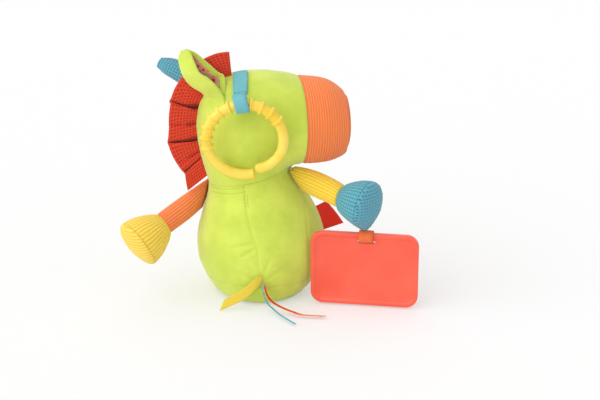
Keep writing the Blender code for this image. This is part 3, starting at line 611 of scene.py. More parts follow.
def cut_at_neck(source, name, distance, keep_head):
    """The head or the body from a skin. The jaw hangs lower than the neck's seam and stays with the head."""
    lifted = source.copy()
    lifted.data = source.data.copy()
    for v in lifted.data.vertices:
        v.co += jaw_rise(v.co)
    piece = cut_closed(lifted, name, NECK_AXIS, distance, keep_head)
    bm = bmesh.new()
    bm.from_mesh(piece.data)
    for degrees in JAW_FOLDS:
        way = Matrix.Rotation(math.radians(degrees), 3, NECK_AXIS) @ JAW_WAY
        bmesh.ops.bisect_plane(bm, geom=everything(bm), plane_co=NECK + way * NECK_REACH, plane_no=way)
    bm.to_mesh(piece.data)
    bm.free()
    for v in piece.data.vertices:
        v.co -= jaw_rise(v.co)
    bpy.data.objects.remove(lifted)
    return piece


def new_piece(name, bm):
    bmesh.ops.recalc_face_normals(bm, faces=bm.faces)
    mesh = bpy.data.meshes.new(name)
    bm.to_mesh(mesh)
    bm.free()
    mesh.shade_smooth()
    return linked(name, mesh)


def dress(obj, material, body, slot, *nodes):
    """Gives a piece its material, its CAD body and the nodes that it stands for. slot is not used.

    A piece that bends names two bodies, and the two points between which it bends; these are not used, and
    its transform is baked into its mesh instead.
    """
    obj.data.materials.clear()
    obj.data.materials.append(material)
    if isinstance(body, str):
        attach(obj, body)
    else:
        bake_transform(obj)
    if nodes:
        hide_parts(*nodes)
    return obj


JAW_SLOPE = 1.5
JAW_CLEARANCE = 0.005
JAW_FOLDS = (-30, -15, 0, 15, 30)
JAW_WAY = (SNOUT - NECK_AXIS * SNOUT.dot(NECK_AXIS)).normalized()
cover = points_of(NODES["body_cover"].data)
cover = cover[near_plane(cover, NECK_AXIS, NECK_HEIGHT)]
NECK_REACH = max(neck_radius(Vector(point)) for point in cover) + JAW_CLEARANCE
print("the neck's cut is flat to", round(NECK_REACH, 4), "m from its axis")
FORM_TREE = tree_of(SKIN)
coarse_head = cut_at_neck(SKIN, "coarse head", NECK_HEIGHT, True)
HEAD_TREE = tree_of(coarse_head)
bpy.data.objects.remove(coarse_head)
finer(SKIN)
points = points_of(SKIN.data)
normals = normals_of(SKIN.data)
below_neck = NECK_HEIGHT - points @ np.array(NECK_AXIS)
at_base = points[:, 2] - BASE_SEAM
sink = valley(below_neck, NECK_DEPTH, SEAM_WIDTH) + valley(at_base, BASE_SEAM_DEPTH, SEAM_WIDTH)
sink += valley(points @ np.array(SNOUT) - MUZZLE_SEAM, SEAM_DEPTH, SEAM_WIDTH)
at_back = (points[:, 1] > 0) & (at_base > 0) & (below_neck > 0)
sink += at_back * valley(points[:, 0] - back_seam_x(points[:, 2]), BACK_SEAM_DEPTH, SEAM_WIDTH)
for crease in CREASES:
    sink += at_back * crease_depth(points, *crease)
put_points(SKIN.data, points - normals * sink[:, None])
upper = cut_closed(SKIN, "upper", Z_AXIS, BASE_SEAM + STITCHED_GAP, True)
body = cut_at_neck(upper, "body", NECK_HEIGHT - HEAD_GAP, False)
base = cut_closed(SKIN, "base", Z_AXIS, BASE_SEAM - STITCHED_GAP, False)
front = cut_at_neck(upper, "front", NECK_HEIGHT + HEAD_GAP, True)
head = cut_closed(front, "head", SNOUT, MUZZLE_SEAM - NECK_GAP, False)
bpy.data.objects.remove(upper)
bpy.data.objects.remove(front)
dress(body, LIME, "torso", "lime_pile", "body_cover", "body_stuffing")
dress(base, LIME, "torso", "lime_pile", "base_panel", "bean_bag")
dress(head, LIME, "head", "lime_pile", "head_cover", "head_stuffing")
BODY_TREE = tree_of(body)
print("body", len(body.data.polygons), "base", len(base.data.polygons), "head", len(head.data.polygons))

# %% [markdown]
# ## Knitted tubes
# Corduroy, rib and waffle are relief that runs round or along a tube of cloth. Rays shot at a form from
# outside give an even grid of points on it, and the grid's own distances say where each ridge lies.


# %% Wrap cloth round a form
RAY_LENGTH = 0.12


def cloth_faces(bm, uv, grid, columns, distances):
    """Faces between the rows of a grid of points, with the cloth's distances as their UV map."""
    for i in range(len(grid) - 1):
        for j in range(columns):
            corners = ((i, j), (i, j + 1), (i + 1, j + 1), (i + 1, j))
            face = bm.faces.new([grid[row][side % len(grid[row])] for row, side in corners])
            for loop, corner in zip(face.loops, corners):
                loop[uv].uv = distances(*corner)


def loft(name, rings, distances):
    """Closed rings of points as one closed piece."""
    bm = bmesh.new()
    uv = bm.loops.layers.uv.new("cloth")
    grid = [[bm.verts.new(point) for point in ring] for ring in rings]
    sides = len(rings[0])
    cloth_faces(bm, uv, grid, sides, distances)
    for ring in (grid[0], grid[-1]):
        centre = bm.verts.new(sum((v.co for v in ring), Vector()) / sides)
        for j in range(sides):
            bm.faces.new((ring[j], ring[(j + 1) % sides], centre))
    return new_piece(name, bm)


def wrapped_ring(tree, centre, across, up, sides):
    """Points where rays from all round meet the form, and the surface normals there."""
    ring, outs = [], []
    for j in range(sides):
        turn = 2 * math.pi * j / sides
        out = across * math.cos(turn) + up * math.sin(turn)
        hit, normal, _, _ = tree.ray_cast(centre + out * RAY_LENGTH, -out, RAY_LENGTH)
        if hit is None:
            hit, normal, _, _ = tree.find_nearest(centre)
        ring.append(hit)
        outs.append(normal)
    return ring, outs


def ridge(distance, pitch, sharpness=0.7):
    """Relief of one ridge to each pitch: 0 in the furrow and 1 on top."""
    return abs(math.cos(math.pi * distance / pitch)) ** sharpness


def frame_along(axis):
    up = (Z_AXIS - axis * axis.z).normalized()
    return axis.cross(up).normalized() * -1, up


def on_line(line, axis, distance):
    """The point of a line that lies at a distance along its axis."""
    return line + axis * (distance - line.dot(axis))


# %% Muzzle
CORD_DEPTH = 0.0005
MUZZLE_SIDES = 96
ROWS_TO_A_CORD = 6
CORD_SEAM_DEPTH = 0.0013
END_ROWS = 14
END_RAY = 0.08


def cord_rings(tree, axis, line, start, end):
    """Corduroy round a line: one ridge to each pitch along it, pulled in at both seams."""
    across, up = frame_along(axis)
    rows = round((end - start) / CORD_PITCH) * ROWS_TO_A_CORD
    rings = []
    for row in range(rows + 1):
        run = (end - start) * row / rows
        ring, outs = wrapped_ring(tree, on_line(line, axis, start + run), across, up, MUZZLE_SIDES)
        lift = CORD_DEPTH * (ridge(run, CORD_PITCH) - 1)
        lift -= sum(valley(off, CORD_SEAM_DEPTH, SEAM_WIDTH) for off in (run, end - start - run))
        rings.append([point + out * lift for point, out in zip(ring, outs)])
    return rings


muzzle_line = middle("muzzle_cover")
rings = cord_rings(HEAD_TREE, SNOUT, muzzle_line, MUZZLE_SEAM + NECK_GAP, MUZZLE_END_SEAM - NECK_GAP)
cord_step = CORD_PITCH / ROWS_TO_A_CORD
side_step = 2 * math.pi * (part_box("muzzle_cover")[1].z - muzzle_line.z) / MUZZLE_SIDES
muzzle = loft("muzzle", rings, lambda row, side: (side * side_step, row * cord_step))
dress(muzzle, CORD, "head", "orange_cord", "muzzle_cover")


def disc_rings(tree, axis, rim, rows):
    """Rings from a rim to the middle of an end panel, laid on the form from outside."""
    middle_point = sum(rim, Vector()) / len(rim)
    rings = [rim]
    for row in range(1, rows):
        share = 1 - row / rows
        ring = []
        for point in rim:
            place = middle_point.lerp(point, share)
            hit = tree.ray_cast(place + axis * END_RAY, -axis)[0]
            ring.append(hit if hit is not None else place)
        rings.append(ring)
    return rings


end_rim = [point + SNOUT * (2 * NECK_GAP) for point in rings[-1]]
end_rings = disc_rings(HEAD_TREE, SNOUT, end_rim, END_ROWS)
snout_side, snout_up = frame_along(SNOUT)


def flat_place(point_rings, side, up):
    """Cloth distances of a flat panel: its own width and height."""

    def place(row, j):
        point = point_rings[row][j % len(point_rings[row])]
        return point.dot(side), point.dot(up)

    return place


muzzle_end = loft("muzzle_end", end_rings, flat_place(end_rings, snout_up, snout_side))
dress(muzzle_end, CORD, "head", "orange_cord", "muzzle_end_panel")
print("muzzle", len(muzzle.data.polygons), "end panel", len(muzzle_end.data.polygons))

# %% [markdown]
# ## Arms and hooves
# Each arm is inflated like the body, then wrapped: ribs along the sleeve, waffle on the hoof and on its
# sole. The right hoof is drawn together below, where a thread ties it.

# %% Arms and hooves
SLEEVE_RIBS = 24
POINTS_TO_A_RIB = 6
SLEEVE_ROWS = 40
RIB_DEPTH = 0.0005
HOOF_RIBS = 40
POINTS_TO_A_LINE = 4
HOOF_ROWS = 60
WAFFLE_DEPTH = 0.0005
CROSS_DEPTH = 0.7
SOLE_ROWS = 44
SOLE_BULGE = 0.0025
RIM_INSET = 0.0008
ROUND_FROM = 0.030
ROOT_THICKNESS = 0.45
ROOT_OVERLAP = 0.014
TOUCH = 0.0004
GATHER_FROM = 0.30
GATHER = 0.74
GATHER_CURVE = 1.3
ARM_HEIGHT = 0.022
ARM_VOXEL = 0.0026
ARM_ROUNDS = 2
SLEEVE_SEAM = (0.0012, 0.002)
HOOF_SEAM = (0.0010, 0.002)
HOOF_RIM = (0.0004, 0.0016)
GATHERED_RIM = (0.0010, 0.0016)


def waffle_lift(across, along, pitch_across, pitch_along, cross=1.0):
    """Relief of waffle knit, from minus its depth in a pit to 0 on a ridge."""
    return WAFFLE_DEPTH * (max(ridge(across, pitch_across, 2), cross * ridge(along, pitch_along, 2)) - 1)


def square_waffle(across, along, cross=1.0):
    return waffle_lift(across, along, WAFFLE_PITCH, WAFFLE_PITCH, cross)


def outside(point, tree):
    """The point itself, or the nearest point just clear of a form if it is inside that form."""
    hit, normal, _, _ = tree.find_nearest(point)
    if (point - hit).dot(normal) < TOUCH:
        return hit + normal * TOUCH
    return point


def gather(point, centre, up, side, radius):
    """Draws the lower part of a hoof in towards its tie."""
    low = -(point - centre).dot(up) / radius
    pull = unit((low - GATHER_FROM) / (1 - GATHER_FROM))
    return point - side * ((point - centre).dot(side) * GATHER * pull**GATHER_CURVE)


def sleeve_rings(tree, line, axis, root, seam, arch, longer):
    """Rings from the body to the hoof: sewn flat on the body, and round from part of the way on."""
    across, up = frame_along(axis)
    sides = SLEEVE_RIBS * POINTS_TO_A_RIB
    start = root + ROUND_FROM
    first, outs = wrapped_ring(tree, on_line(line, axis, start), across, up, sides)
    ends = []
    for point in first:
        hit = FORM_TREE.ray_cast(point, -axis, ROUND_FROM + ROOT_OVERLAP)
        ends.append(ROUND_FROM + ROOT_OVERLAP if hit[0] is None else hit[3])
    flat_rows = SLEEVE_ROWS // 2
    rings = []
    for row in range(flat_rows):
        share = 1 - row / flat_rows
        ring = []
        for j, point in enumerate(first):
            place = point - axis * (ends[j] * share)
            aside = (place - line).dot(across)
            thin = ROOT_THICKNESS + (1 - ROOT_THICKNESS) * math.cos(share * math.pi / 2)
            place -= across * (aside * (1 - thin))
            place += outs[j] * (RIB_DEPTH * (ridge(j, POINTS_TO_A_RIB) - 1))
            ring.append(outside(place, FORM_TREE))
        rings.append(ring)
    for row in range(SLEEVE_ROWS - flat_rows + 1):
        run = start + (seam - NECK_GAP - start) * row / (SLEEVE_ROWS - flat_rows)
        ring, outs = wrapped_ring(tree, on_line(line, axis, run), across, up, sides)
        pull = valley(seam - run, *SLEEVE_SEAM)
        lifts = [RIB_DEPTH * (ridge(j, POINTS_TO_A_RIB) - 1) - pull for j in range(sides)]
        rings.append([point + out * lift for point, out, lift in zip(ring, outs, lifts)])
    for row, ring in enumerate(rings):
        for j, point in enumerate(ring):
            share = unit((point.dot(axis) - root) / (seam - root))
            above = max((point - line).dot(up), 0) / (0.5 * ARM_HEIGHT)
            raised = arch * (1 - share**2) + arch * 3 * share * (1 - share) * min(above, 1)
            point = point + Z_AXIS * raised + axis * (longer * share**2)
            ring[j] = outside(point, FORM_TREE) if row < flat_rows else point
    return rings


def make_arm(name, materials, slots, gathered=False, arch=0.0, longer=0.0, sag=(0, 0, 0)):
    """One arm: its sleeve, its hoof and the hoof's sole. slots are those of the sleeve and the hoof."""
    sleeve, hoof, sole = f"arm_{name}_sleeve", f"hoof_{name}", f"hoof_{name}_sole"
    stuffing = f"arm_{name}_stuffing"
    body_name = f"arm_{name}"
    line = joint_place(f"arm_{name}_swing")
    axis = (Vector(points_of(NODES[sole].data).mean(0)) - line).normalized()
    seam, rim = reach(hoof, axis)
    rim -= RIM_INSET
    root = line.dot(axis)

    def held(points):
        return near_plane(points, axis, seam) | near_plane(points, axis, rim)

    skin = skin_of(f"{name}_arm_skin", [sleeve, hoof, sole, stuffing], ARM_VOXEL, ARM_ROUNDS)
    tree = tree_of(inflate(skin, held))
    across, up = frame_along(axis)
    radius = max(reach(hoof, up)[1] - line.dot(up), line.dot(up) - reach(hoof, up)[0])
    low, top = reach(hoof, Z_AXIS)

    def shaped(points):
        """The hoof as it hangs: shorter where its sleeve is longer, and sagging towards its lowest point."""
        found = []
        for point in points:
            if gathered:
                point = gather(point, line + axis * (point - line).dot(axis), up, across, radius)
            near = unit((rim - point.dot(axis)) / (rim - seam))
            down = unit((top - point.z) / (top - low))
            found.append(point + axis * (longer * near) + Vector(sag) * down**2)
        return found

    rings = sleeve_rings(tree, line, axis, root, seam, arch, longer)
    rib = RIB_PITCH / POINTS_TO_A_RIB
    step = (seam - root) / SLEEVE_ROWS
    tube = loft(f"sleeve_{name}", rings, lambda row, side: (side * rib, row * step))
    bend = ("torso", body_name, line - axis * ROOT_OVERLAP, line + axis * ROUND_FROM)
    dress(tube, materials[0], bend, slots[0], sleeve, stuffing)

    sides = HOOF_RIBS * POINTS_TO_A_LINE
    rings = []
    pits = round((rim - seam) / WAFFLE_PITCH)
    pitch_along = (rim - seam) / pits
    rim_seam = GATHERED_RIM if gathered else HOOF_RIM
    for row in range(HOOF_ROWS + 1):
        run = (rim - seam - 2 * NECK_GAP) * row / HOOF_ROWS
        ring, outs = wrapped_ring(tree, on_line(line, axis, seam + NECK_GAP + run), across, up, sides)
        pull = valley(run, *HOOF_SEAM) + valley(rim - seam - run, *rim_seam)
        lifts = [waffle_lift(j, run, POINTS_TO_A_LINE, pitch_along, CROSS_DEPTH) - pull for j in range(sides)]
        rings.append(shaped([point + out * lift for point, out, lift in zip(ring, outs, lifts)]))
    rib = WAFFLE_PITCH / POINTS_TO_A_LINE
    step = WAFFLE_PITCH * pits / HOOF_ROWS
    cup = loft(f"hoof_{name}_cup", rings, lambda row, side: (side * rib, row * step))
    dress(cup, materials[1], body_name, slots[1], hoof)

    edge = wrapped_ring(tree, on_line(line, axis, rim), across, up, sides)[0]
    flat = disc_rings(tree, axis, [point - axis * (0.7 * NECK_GAP) for point in edge], SOLE_ROWS)
    for row, ring in enumerate(flat[1:], 1):
        bulge = SOLE_BULGE * (1 - (1 - row / SOLE_ROWS) ** 2)
        lifts = [square_waffle(p.dot(up), p.dot(across), CROSS_DEPTH) + bulge for p in ring]
        flat[row] = [point + axis * lift for point, lift in zip(ring, lifts)]
    flat = [shaped(ring) for ring in flat]
    cap = loft(f"sole_{name}", flat, flat_place(flat, up, across))
    dress(cap, materials[2], body_name, slots[1], sole)
    bpy.data.objects.remove(skin)


make_arm(
    "left", (LEFT_SLEEVE, YELLOW_WAFFLE, YELLOW_WAFFLE), ("orange_rib", "yellow_waffle"),
    sag=(-0.0045, 0, 0),
)
make_arm(
    "right", (RIGHT_SLEEVE, TEAL_WAFFLE, TEAL_SOLE), ("yellow_rib", "teal_waffle"),
    gathered=True, arch=0.0034, longer=0.004, sag=(0.0008, 0, -0.0028),
)
print("arms done")

# %% [markdown]
# ## Shoulder
# When the head turns, its jaw passes over the right sleeve. The sleeve's root is pressed down for it, and
# the jaw and muzzle are raised where they would still meet the sleeve.

# %% Clear the shoulder
SHOULDER_REACH = 0.012
SHOULDER_CLEARANCE = 0.0010
SHOULDER_SUNK = 0.0036
SHOULDER_EDGE = 0.008
SHOULDER_SOFT = 0.004
SHOULDER_ROUNDS = 8
SHOULDER_FALL = 0.75


def clear_turn(piece, below, limit):
    """Raises a piece's underside off what lies below it when the head is turned to a limit."""
    turned = Matrix.Rotation(math.radians(limit), 3, NECK_AXIS)
    lifts = np.zeros(len(piece.data.vertices))
    for v in piece.data.vertices:
        place = NECK + turned @ (v.co - NECK)
        hit, normal, _, distance = below.ray_cast(place, NECK_AXIS, SHOULDER_REACH)
        if hit and normal.dot(NECK_AXIS) > 0:
            lifts[v.index] = distance + SHOULDER_CLEARANCE
    deepest = lifts.max()
    ends = np.array([edge.vertices for edge in piece.data.edges])
    for _ in range(SHOULDER_ROUNDS):
        spread = lifts.copy()
        np.maximum.at(spread, ends[:, 0], lifts[ends[:, 1]] * SHOULDER_FALL)
        np.maximum.at(spread, ends[:, 1], lifts[ends[:, 0]] * SHOULDER_FALL)
        lifts = spread
    put_points(piece.data, points_of(piece.data) + lifts[:, None] * np.array(NECK_AXIS))
    print(piece.name, "raised up to", round(deepest * 1000, 1), "mm over the shoulder")


sleeve = bpy.data.objects["sleeve_right"]
for v in sleeve.data.vertices:
    share = unit((NECK_REACH + SHOULDER_EDGE - neck_radius(v.co)) / SHOULDER_SOFT)
    above = (v.co - NECK).dot(NECK_AXIS) + SHOULDER_SUNK * share
    if share > 0 and above > 0:
        v.co -= NECK_AXIS * above
shoulder = tree_of(sleeve)
for piece in (head, muzzle):
    clear_turn(piece, shoulder, JOINTS["head_turn"]["range_deg"][0])

# %% [markdown]
# ## Mane
# The mane is one strip of waffle knit, gathered along the crown seam. Its pleats are small at the seam
# and deep at the free edge, and painted shade darkens the pockets between them.

# %% Mane
MANE_WIDTH = 0.0275
MANE_ROWS = 34
MANE_STEP = 0.0006
MANE_THICKNESS = 0.0018
MANE_SUNK = 0.0014
PLEATS = [
    # place along the seam from the nape, how far it opens, how deep it goes,
    # and the painted shade in its pocket: its soft side, its strength and its reach from the seam
    (0.0185, 0.0030, 0.0055, 0.0055, 0.90, 0.032),
    (0.0250, 0.0030, 0.0025, 0.0055, 0.40, 0.018),
    (0.0360, 0.0045, 0.0060, 0.0085, 0.95, 0.027),
    (0.0520, 0.0040, 0.0025, 0.0060, 0.50, 0.014),
    (0.0675, 0.0040, 0.0065, 0.0080, 1.00, 0.025),
]
PLEAT_ROUNDING = 0.0013
PLEAT_STEPS = 6
PLEAT_AT_SEAM = 0.25
# corners of a pleat as shares of its depth: the flap's edge, the valley and the next flap's start
FLAP_EDGE = 0.55
VALLEY = -0.9
FLAP_START = 0.35
MANE_EDGE = [
    # place along the seam, and how far the free edge stands beyond the strip's width
    (0.000, -0.0020),
    (0.018, -0.0034),
    (0.036, 0.0034),
    (0.052, 0.0006),
    (0.068, 0.0026),
    (0.084, 0.0024),
    (0.100, 0.0016),
    (0.124, -0.0036),
]
MANE_DROOP = [
    # place along the seam, and degrees that the strip leans from square towards the nape
    (0.0000, 20),
    (0.0185, 27),
    (0.0260, 14),
    (0.0360, -10),
    (0.0520, -7),
    (0.0675, -12),
    (0.0850, -5),
    (0.0950, 0),
    (0.1250, -10),
]
CROWN_CENTRE = NECK + Z_AXIS * 0.05
CROWN_POINTS = 301
CROWN_RAY = 0.2
MANE_FROM_NAPE = 0.05
MANE_TO_BROW = 0.02
TANGENT_STEP = 0.004
VALLEY_BACK = 0.25
side_way = SNOUT.cross(Z_AXIS).normalized()
side_way *= math.copysign(1, side_way.y)


def crown_line(first, last, count):
    """Points over the crown in the head's middle plane."""
    found = []
    for step in range(count):
        turn = first + (last - first) * step / (count - 1)
        out = SNOUT * -math.cos(turn) + Z_AXIS * math.sin(turn)
        found.append(HEAD_TREE.ray_cast(CROWN_CENTRE + out * CROWN_RAY, -out)[0])
    return np.array(found)


def turn_of(point):
    place = point - CROWN_CENTRE
    return math.atan2(place.z, -place.dot(SNOUT))


turns = [turn_of(v.co) for v in NODES["mane_frill"].data.vertices]
crown = crown_line(min(turns) + MANE_FROM_NAPE, max(turns) - MANE_TO_BROW, CROWN_POINTS)
lengths = run_along(crown)
seam_length = float(lengths[-1])


def on_crown(place):
    """The point at a distance along the crown seam."""
    return np.array([np.interp(place, lengths, crown[:, axis]) for axis in range(3)])


def pleat_path(share):
    """The strip's line at a share of its width: places along the seam and sideways, dipping at each pleat."""
    deep = PLEAT_AT_SEAM + (1 - PLEAT_AT_SEAM) * share
    corners = [(0.0, 0.001)]
    for place, opening, depth, *_ in PLEATS:
        corners.append((place, FLAP_EDGE * depth * deep))
        corners.append((place - VALLEY_BACK * opening, VALLEY * depth * deep))
        corners.append((place + opening, FLAP_START * depth * deep))
    corners.append((seam_length, 0.0))
    corners = [np.array(corner) for corner in corners]
    path = [corners[0]]
    for before, corner, after in zip(corners, corners[1:], corners[2:]):
        back, ahead = before - corner, after - corner
        back *= min(PLEAT_ROUNDING / np.linalg.norm(back), 0.45)
        ahead *= min(PLEAT_ROUNDING / np.linalg.norm(ahead), 0.45)
        for t in np.linspace(0, 1, PLEAT_STEPS):
            path.append(corner + back * (1 - t) ** 2 + ahead * t**2)
    path.append(corners[-1])
    return np.array(path)


def even_path(path, count):
    run = run_along(path)
    places = np.linspace(0, run[-1], count)
    return np.stack([np.interp(places, run, path[:, axis]) for axis in (0, 1)], axis=1)


edge_places = np.array(MANE_EDGE)
droops = np.array(MANE_DROOP)
strip_length = float(run_along(pleat_path(1.0))[-1])
mane_columns = round(strip_length / MANE_STEP)
mane_rows = []
for row in range(MANE_ROWS + 1):
    share = row / MANE_ROWS
    line = []
    for place, aside in even_path(pleat_path(share), mane_columns + 1):
        here = Vector(on_crown(place))
        tangent = Vector(on_crown(place + TANGENT_STEP) - on_crown(place - TANGENT_STEP)).normalized()
        outward = tangent.cross(side_way)
        outward *= math.copysign(1, outward.dot(here - CROWN_CENTRE))
        droop = math.radians(np.interp(place, droops[:, 0], droops[:, 1]))
        outward = outward * math.cos(droop) - tangent * math.sin(droop)
        wide = MANE_WIDTH + np.interp(place, edge_places[:, 0], edge_places[:, 1])
        line.append(here + outward * (wide * share - MANE_SUNK) + side_way * aside)
    mane_rows.append(line)


def thick_sheet(name, rows, inner, outer, relief=None):
    """A cloth with two faces: the grid moved along its normals by inner and by outer, plus any relief."""
    grid = np.array(rows)
    normals = np.cross(np.gradient(grid, axis=1), np.gradient(grid, axis=0))
    normals /= np.maximum(np.linalg.norm(normals, axis=2, keepdims=True), 1e-12)
    along = run_along(grid[len(grid) // 2])
    across = run_along(grid[:, grid.shape[1] // 2])
    lift = np.zeros(grid.shape[:2])
    if relief:
        lift = np.array([[relief(a, b) for a in along] for b in across])
    faces = []
    for offset, way in ((inner, math.copysign(1, inner - outer)), (outer, math.copysign(1, outer - inner))):
        moved = grid + normals * (offset + way * lift)[:, :, None]
        faces.append([[Vector(point) for point in row] for row in moved])
    return two_faced(name, faces[0], faces[1], lambda row, column: (along[column], across[row]))


def two_faced(name, front, back, distances):
    """A sheet with both faces and its rim."""
    bm = bmesh.new()
    uv = bm.loops.layers.uv.new("cloth")
    grids = [[[bm.verts.new(point) for point in row] for row in face] for face in (front, back)]
    rows, columns = len(front), len(front[0])
    for grid in grids:
        cloth_faces(bm, uv, grid, columns - 1, distances)
    rim = [(0, j) for j in range(columns)] + [(i, columns - 1) for i in range(1, rows)]
    rim += [(rows - 1, j) for j in range(columns - 2, -1, -1)] + [(i, 0) for i in range(rows - 2, 0, -1)]
    for (a, b), (c, d) in zip(rim, rim[1:] + rim[:1]):
        bm.faces.new((grids[0][a][b], grids[0][c][d], grids[1][c][d], grids[1][a][b]))
    return new_piece(name, bm)


def half_area(obj):
    return sum(face.area for face in obj.data.polygons) / 2


reached = run_along(np.array(mane_rows[len(mane_rows) // 2]))
middle_path = pleat_path(0.5)
run = run_along(middle_path)
# where each pleat's pocket lies along the strip, for the painted shade that the mane's waffle puts there
pockets = []
for place, opening, depth, soft, shade, width in PLEATS:
    valley_point = np.array([place - VALLEY_BACK * opening, -0.56 * depth])
    found = np.linalg.norm(middle_path - valley_point, axis=1).argmin()
    column = round(run[found] / run[-1] * mane_columns)
    pockets.append((float(reached[column]), soft, shade, width))
RED_WAFFLE = waffle("red waffle knit", linear(176, 40, 24), linear(232, 72, 46), 1.0, pockets)
mane = thick_sheet("mane", mane_rows, MANE_THICKNESS / 2, -MANE_THICKNESS / 2, square_waffle)
dress(mane, RED_WAFFLE, "head", "red_waffle", "mane_frill")
print("mane strip", round(strip_length, 3), "m on a seam of", round(seam_length, 3), "m")

# %% [markdown]
# ## Ears
# An ear is a leaf of cloth folded along its length, with a lining inside the fold.

# %% Ears
EAR_OUTLINE = [
    # share of the length, half the fold's width, depth of the fold
    (-0.20, 0.0085, 0.0330),
    (0.10, 0.0075, 0.0290),
    (0.35, 0.0066, 0.0245),
    (0.60, 0.0060, 0.0180),
    (0.82, 0.0052, 0.0145),
    (0.94, 0.0040, 0.0095),
    (1.00, 0.0022, 0.0045),
]
EAR_WALL = 0.0018
LINING_WALL = 0.0008
LINING_GAP = 0.0004
EAR_BEND = 0.016
LEAF_GRID = (60, 72)
LINING_GRID = (44, 56)
BLUR = np.linspace(-0.08, 0.08, 9)
LEFT_FOOT = 0.2
LEFT_LINING = 0.9


def fold_point(across, half_width, depth):
    """A point of the folded leaf's U section: across is -1 to 1 from rim to rim."""
    bend = half_width * math.pi / 2
    run = abs(across) * (bend + depth - half_width)
    side = math.copysign(1, across)
    if run < bend:
        angle = run / half_width
        return side * half_width * math.sin(angle), half_width * (1 - math.cos(angle))
    return side * half_width, half_width + run - bend


def smooth_between(place, places, values):
    """A value from a list, averaged over a little way to both sides."""
    return float(np.mean(np.interp(place + BLUR, places, values)))


def leaf(root, axis, opening, length, first, last, reach_across, rows, columns):
    """A grid of points on a folded leaf, kept outside the head."""
    outline = np.array(EAR_OUTLINE)
    side = axis.cross(opening).normalized()
    grid = []
    for row in range(rows + 1):
        share = first + (last - first) * row / rows
        half_width, depth = (smooth_between(share, outline[:, 0], outline[:, column]) for column in (1, 2))
        line = []
        for column in range(columns + 1):
            x, y = fold_point((2 * column / columns - 1) * reach_across, half_width, depth)
            point = root + axis * (length * share) + side * x + opening * (y - depth / 2)
            line.append(outside(point, FORM_TREE))
        grid.append(line)
    return grid


RIGHT_EAR = [
    # from the head to the tip: points on the fold, on the near rim and on the far rim
    ((0.0543, 0.0080, 0.2028), (0.0323, 0.0335, 0.1978), (0.0325, 0.0270, 0.2080)),
    ((0.0580, 0.0105, 0.2088), (0.0342, 0.0315, 0.2068), (0.0335, 0.0145, 0.2232)),
    ((0.0649, 0.0120, 0.2127), (0.0398, 0.0305, 0.2163), (0.0399, 0.0140, 0.2283)),
    ((0.0706, 0.0125, 0.2182), (0.0485, 0.0290, 0.2248), (0.0476, 0.0130, 0.2352)),
    ((0.0749, 0.0130, 0.2263), (0.0569, 0.0275, 0.2300), (0.0542, 0.0130, 0.2412)),
    ((0.0775, 0.0135, 0.2363), (0.0618, 0.0245, 0.2393), (0.0603, 0.0135, 0.2467)),
    ((0.0778, 0.0140, 0.2429), (0.0653, 0.0200, 0.2475), (0.0650, 0.0140, 0.2493)),
    ((0.0752, 0.0145, 0.2488), (0.0680, 0.0175, 0.2507), (0.0689, 0.0150, 0.2511)),
]
EAR_SUNK = 0.0012


def smooth_line(corners, count):
    """A smooth line through a few points."""
    corners = [Vector(corner) for corner in corners]
    corners = [2 * corners[0] - corners[1], *corners, 2 * corners[-1] - corners[-2]]
    line = []
    for step in range(count + 1):
        place = step / count * (len(corners) - 3)
        k = min(int(place), len(corners) - 4)
        t = place - k
        a, b, c, d = corners[k : k + 4]
        square, cube = 2 * a - 5 * b + 4 * c - d, 3 * b - a - 3 * c + d
        line.append(0.5 * (2 * b + (c - a) * t + square * t**2 + cube * t**3))
    return line


def draped_leaf(stations, rows, columns, first, last, reaches):
    """A leaf through its fold and rims, whose foot lies in the head's cover."""
    columns_of = []
    for column in range(columns + 1):
        far_reach, near_reach = reaches
        across = (1 - far_reach + (far_reach + near_reach) * column / columns) / 2
        corners = []
        for fold, near, far in stations:
            fold, near, far = Vector(fold), Vector(near), Vector(far)
            control = 2 * fold - (near + far) / 2
            point = far * (1 - across) ** 2 + control * (2 * across * (1 - across)) + near * across**2
            if not corners:
                hit, normal, _, _ = FORM_TREE.find_nearest(point)
                point = hit - normal * EAR_SUNK
            corners.append(point)
        line = smooth_line(corners, 4 * rows)
        picks = np.linspace(first * 4 * rows, last * 4 * rows, rows + 1).round().astype(int)
        columns_of.append([line[pick] for pick in picks])
    return [list(row) for row in zip(*columns_of)]


def ear_cloth(name, node, finish, grid, faces, bend, length, relief=None):
    """A folded cloth of an ear. finish is its material and slot."""
    cloth = dress(thick_sheet(name, grid, *faces, relief), finish[0], bend, finish[1], node)
    half_area(cloth) / length
    return cloth


def make_right_ear():
    root, tip = joint_place("ear_right_flop"), Vector(RIGHT_EAR[-1][0])
    bend = ("head", "ear_right", root, root + (tip - root).normalized() * EAR_BEND)
    length = (tip - Vector(RIGHT_EAR[0][0])).length
    grid = draped_leaf(RIGHT_EAR, *LEAF_GRID, 0.0, 1.0, (1.0, 1.0))
    finish = (LIME, "lime_pile")
    outer = ear_cloth("ear_right_leaf", "ear_right_outer", finish, grid, (0, -EAR_WALL), bend, length)
    grid = draped_leaf(RIGHT_EAR, *LINING_GRID, 0.05, 0.80, (0.90, 0.72))
    faces = (-EAR_WALL - LINING_GAP, -EAR_WALL - LINING_GAP - LINING_WALL)
    finish = (PRINT, "printed_cotton")
    ear_cloth("ear_right_inside", "ear_right_lining", finish, grid, faces, bend, length)


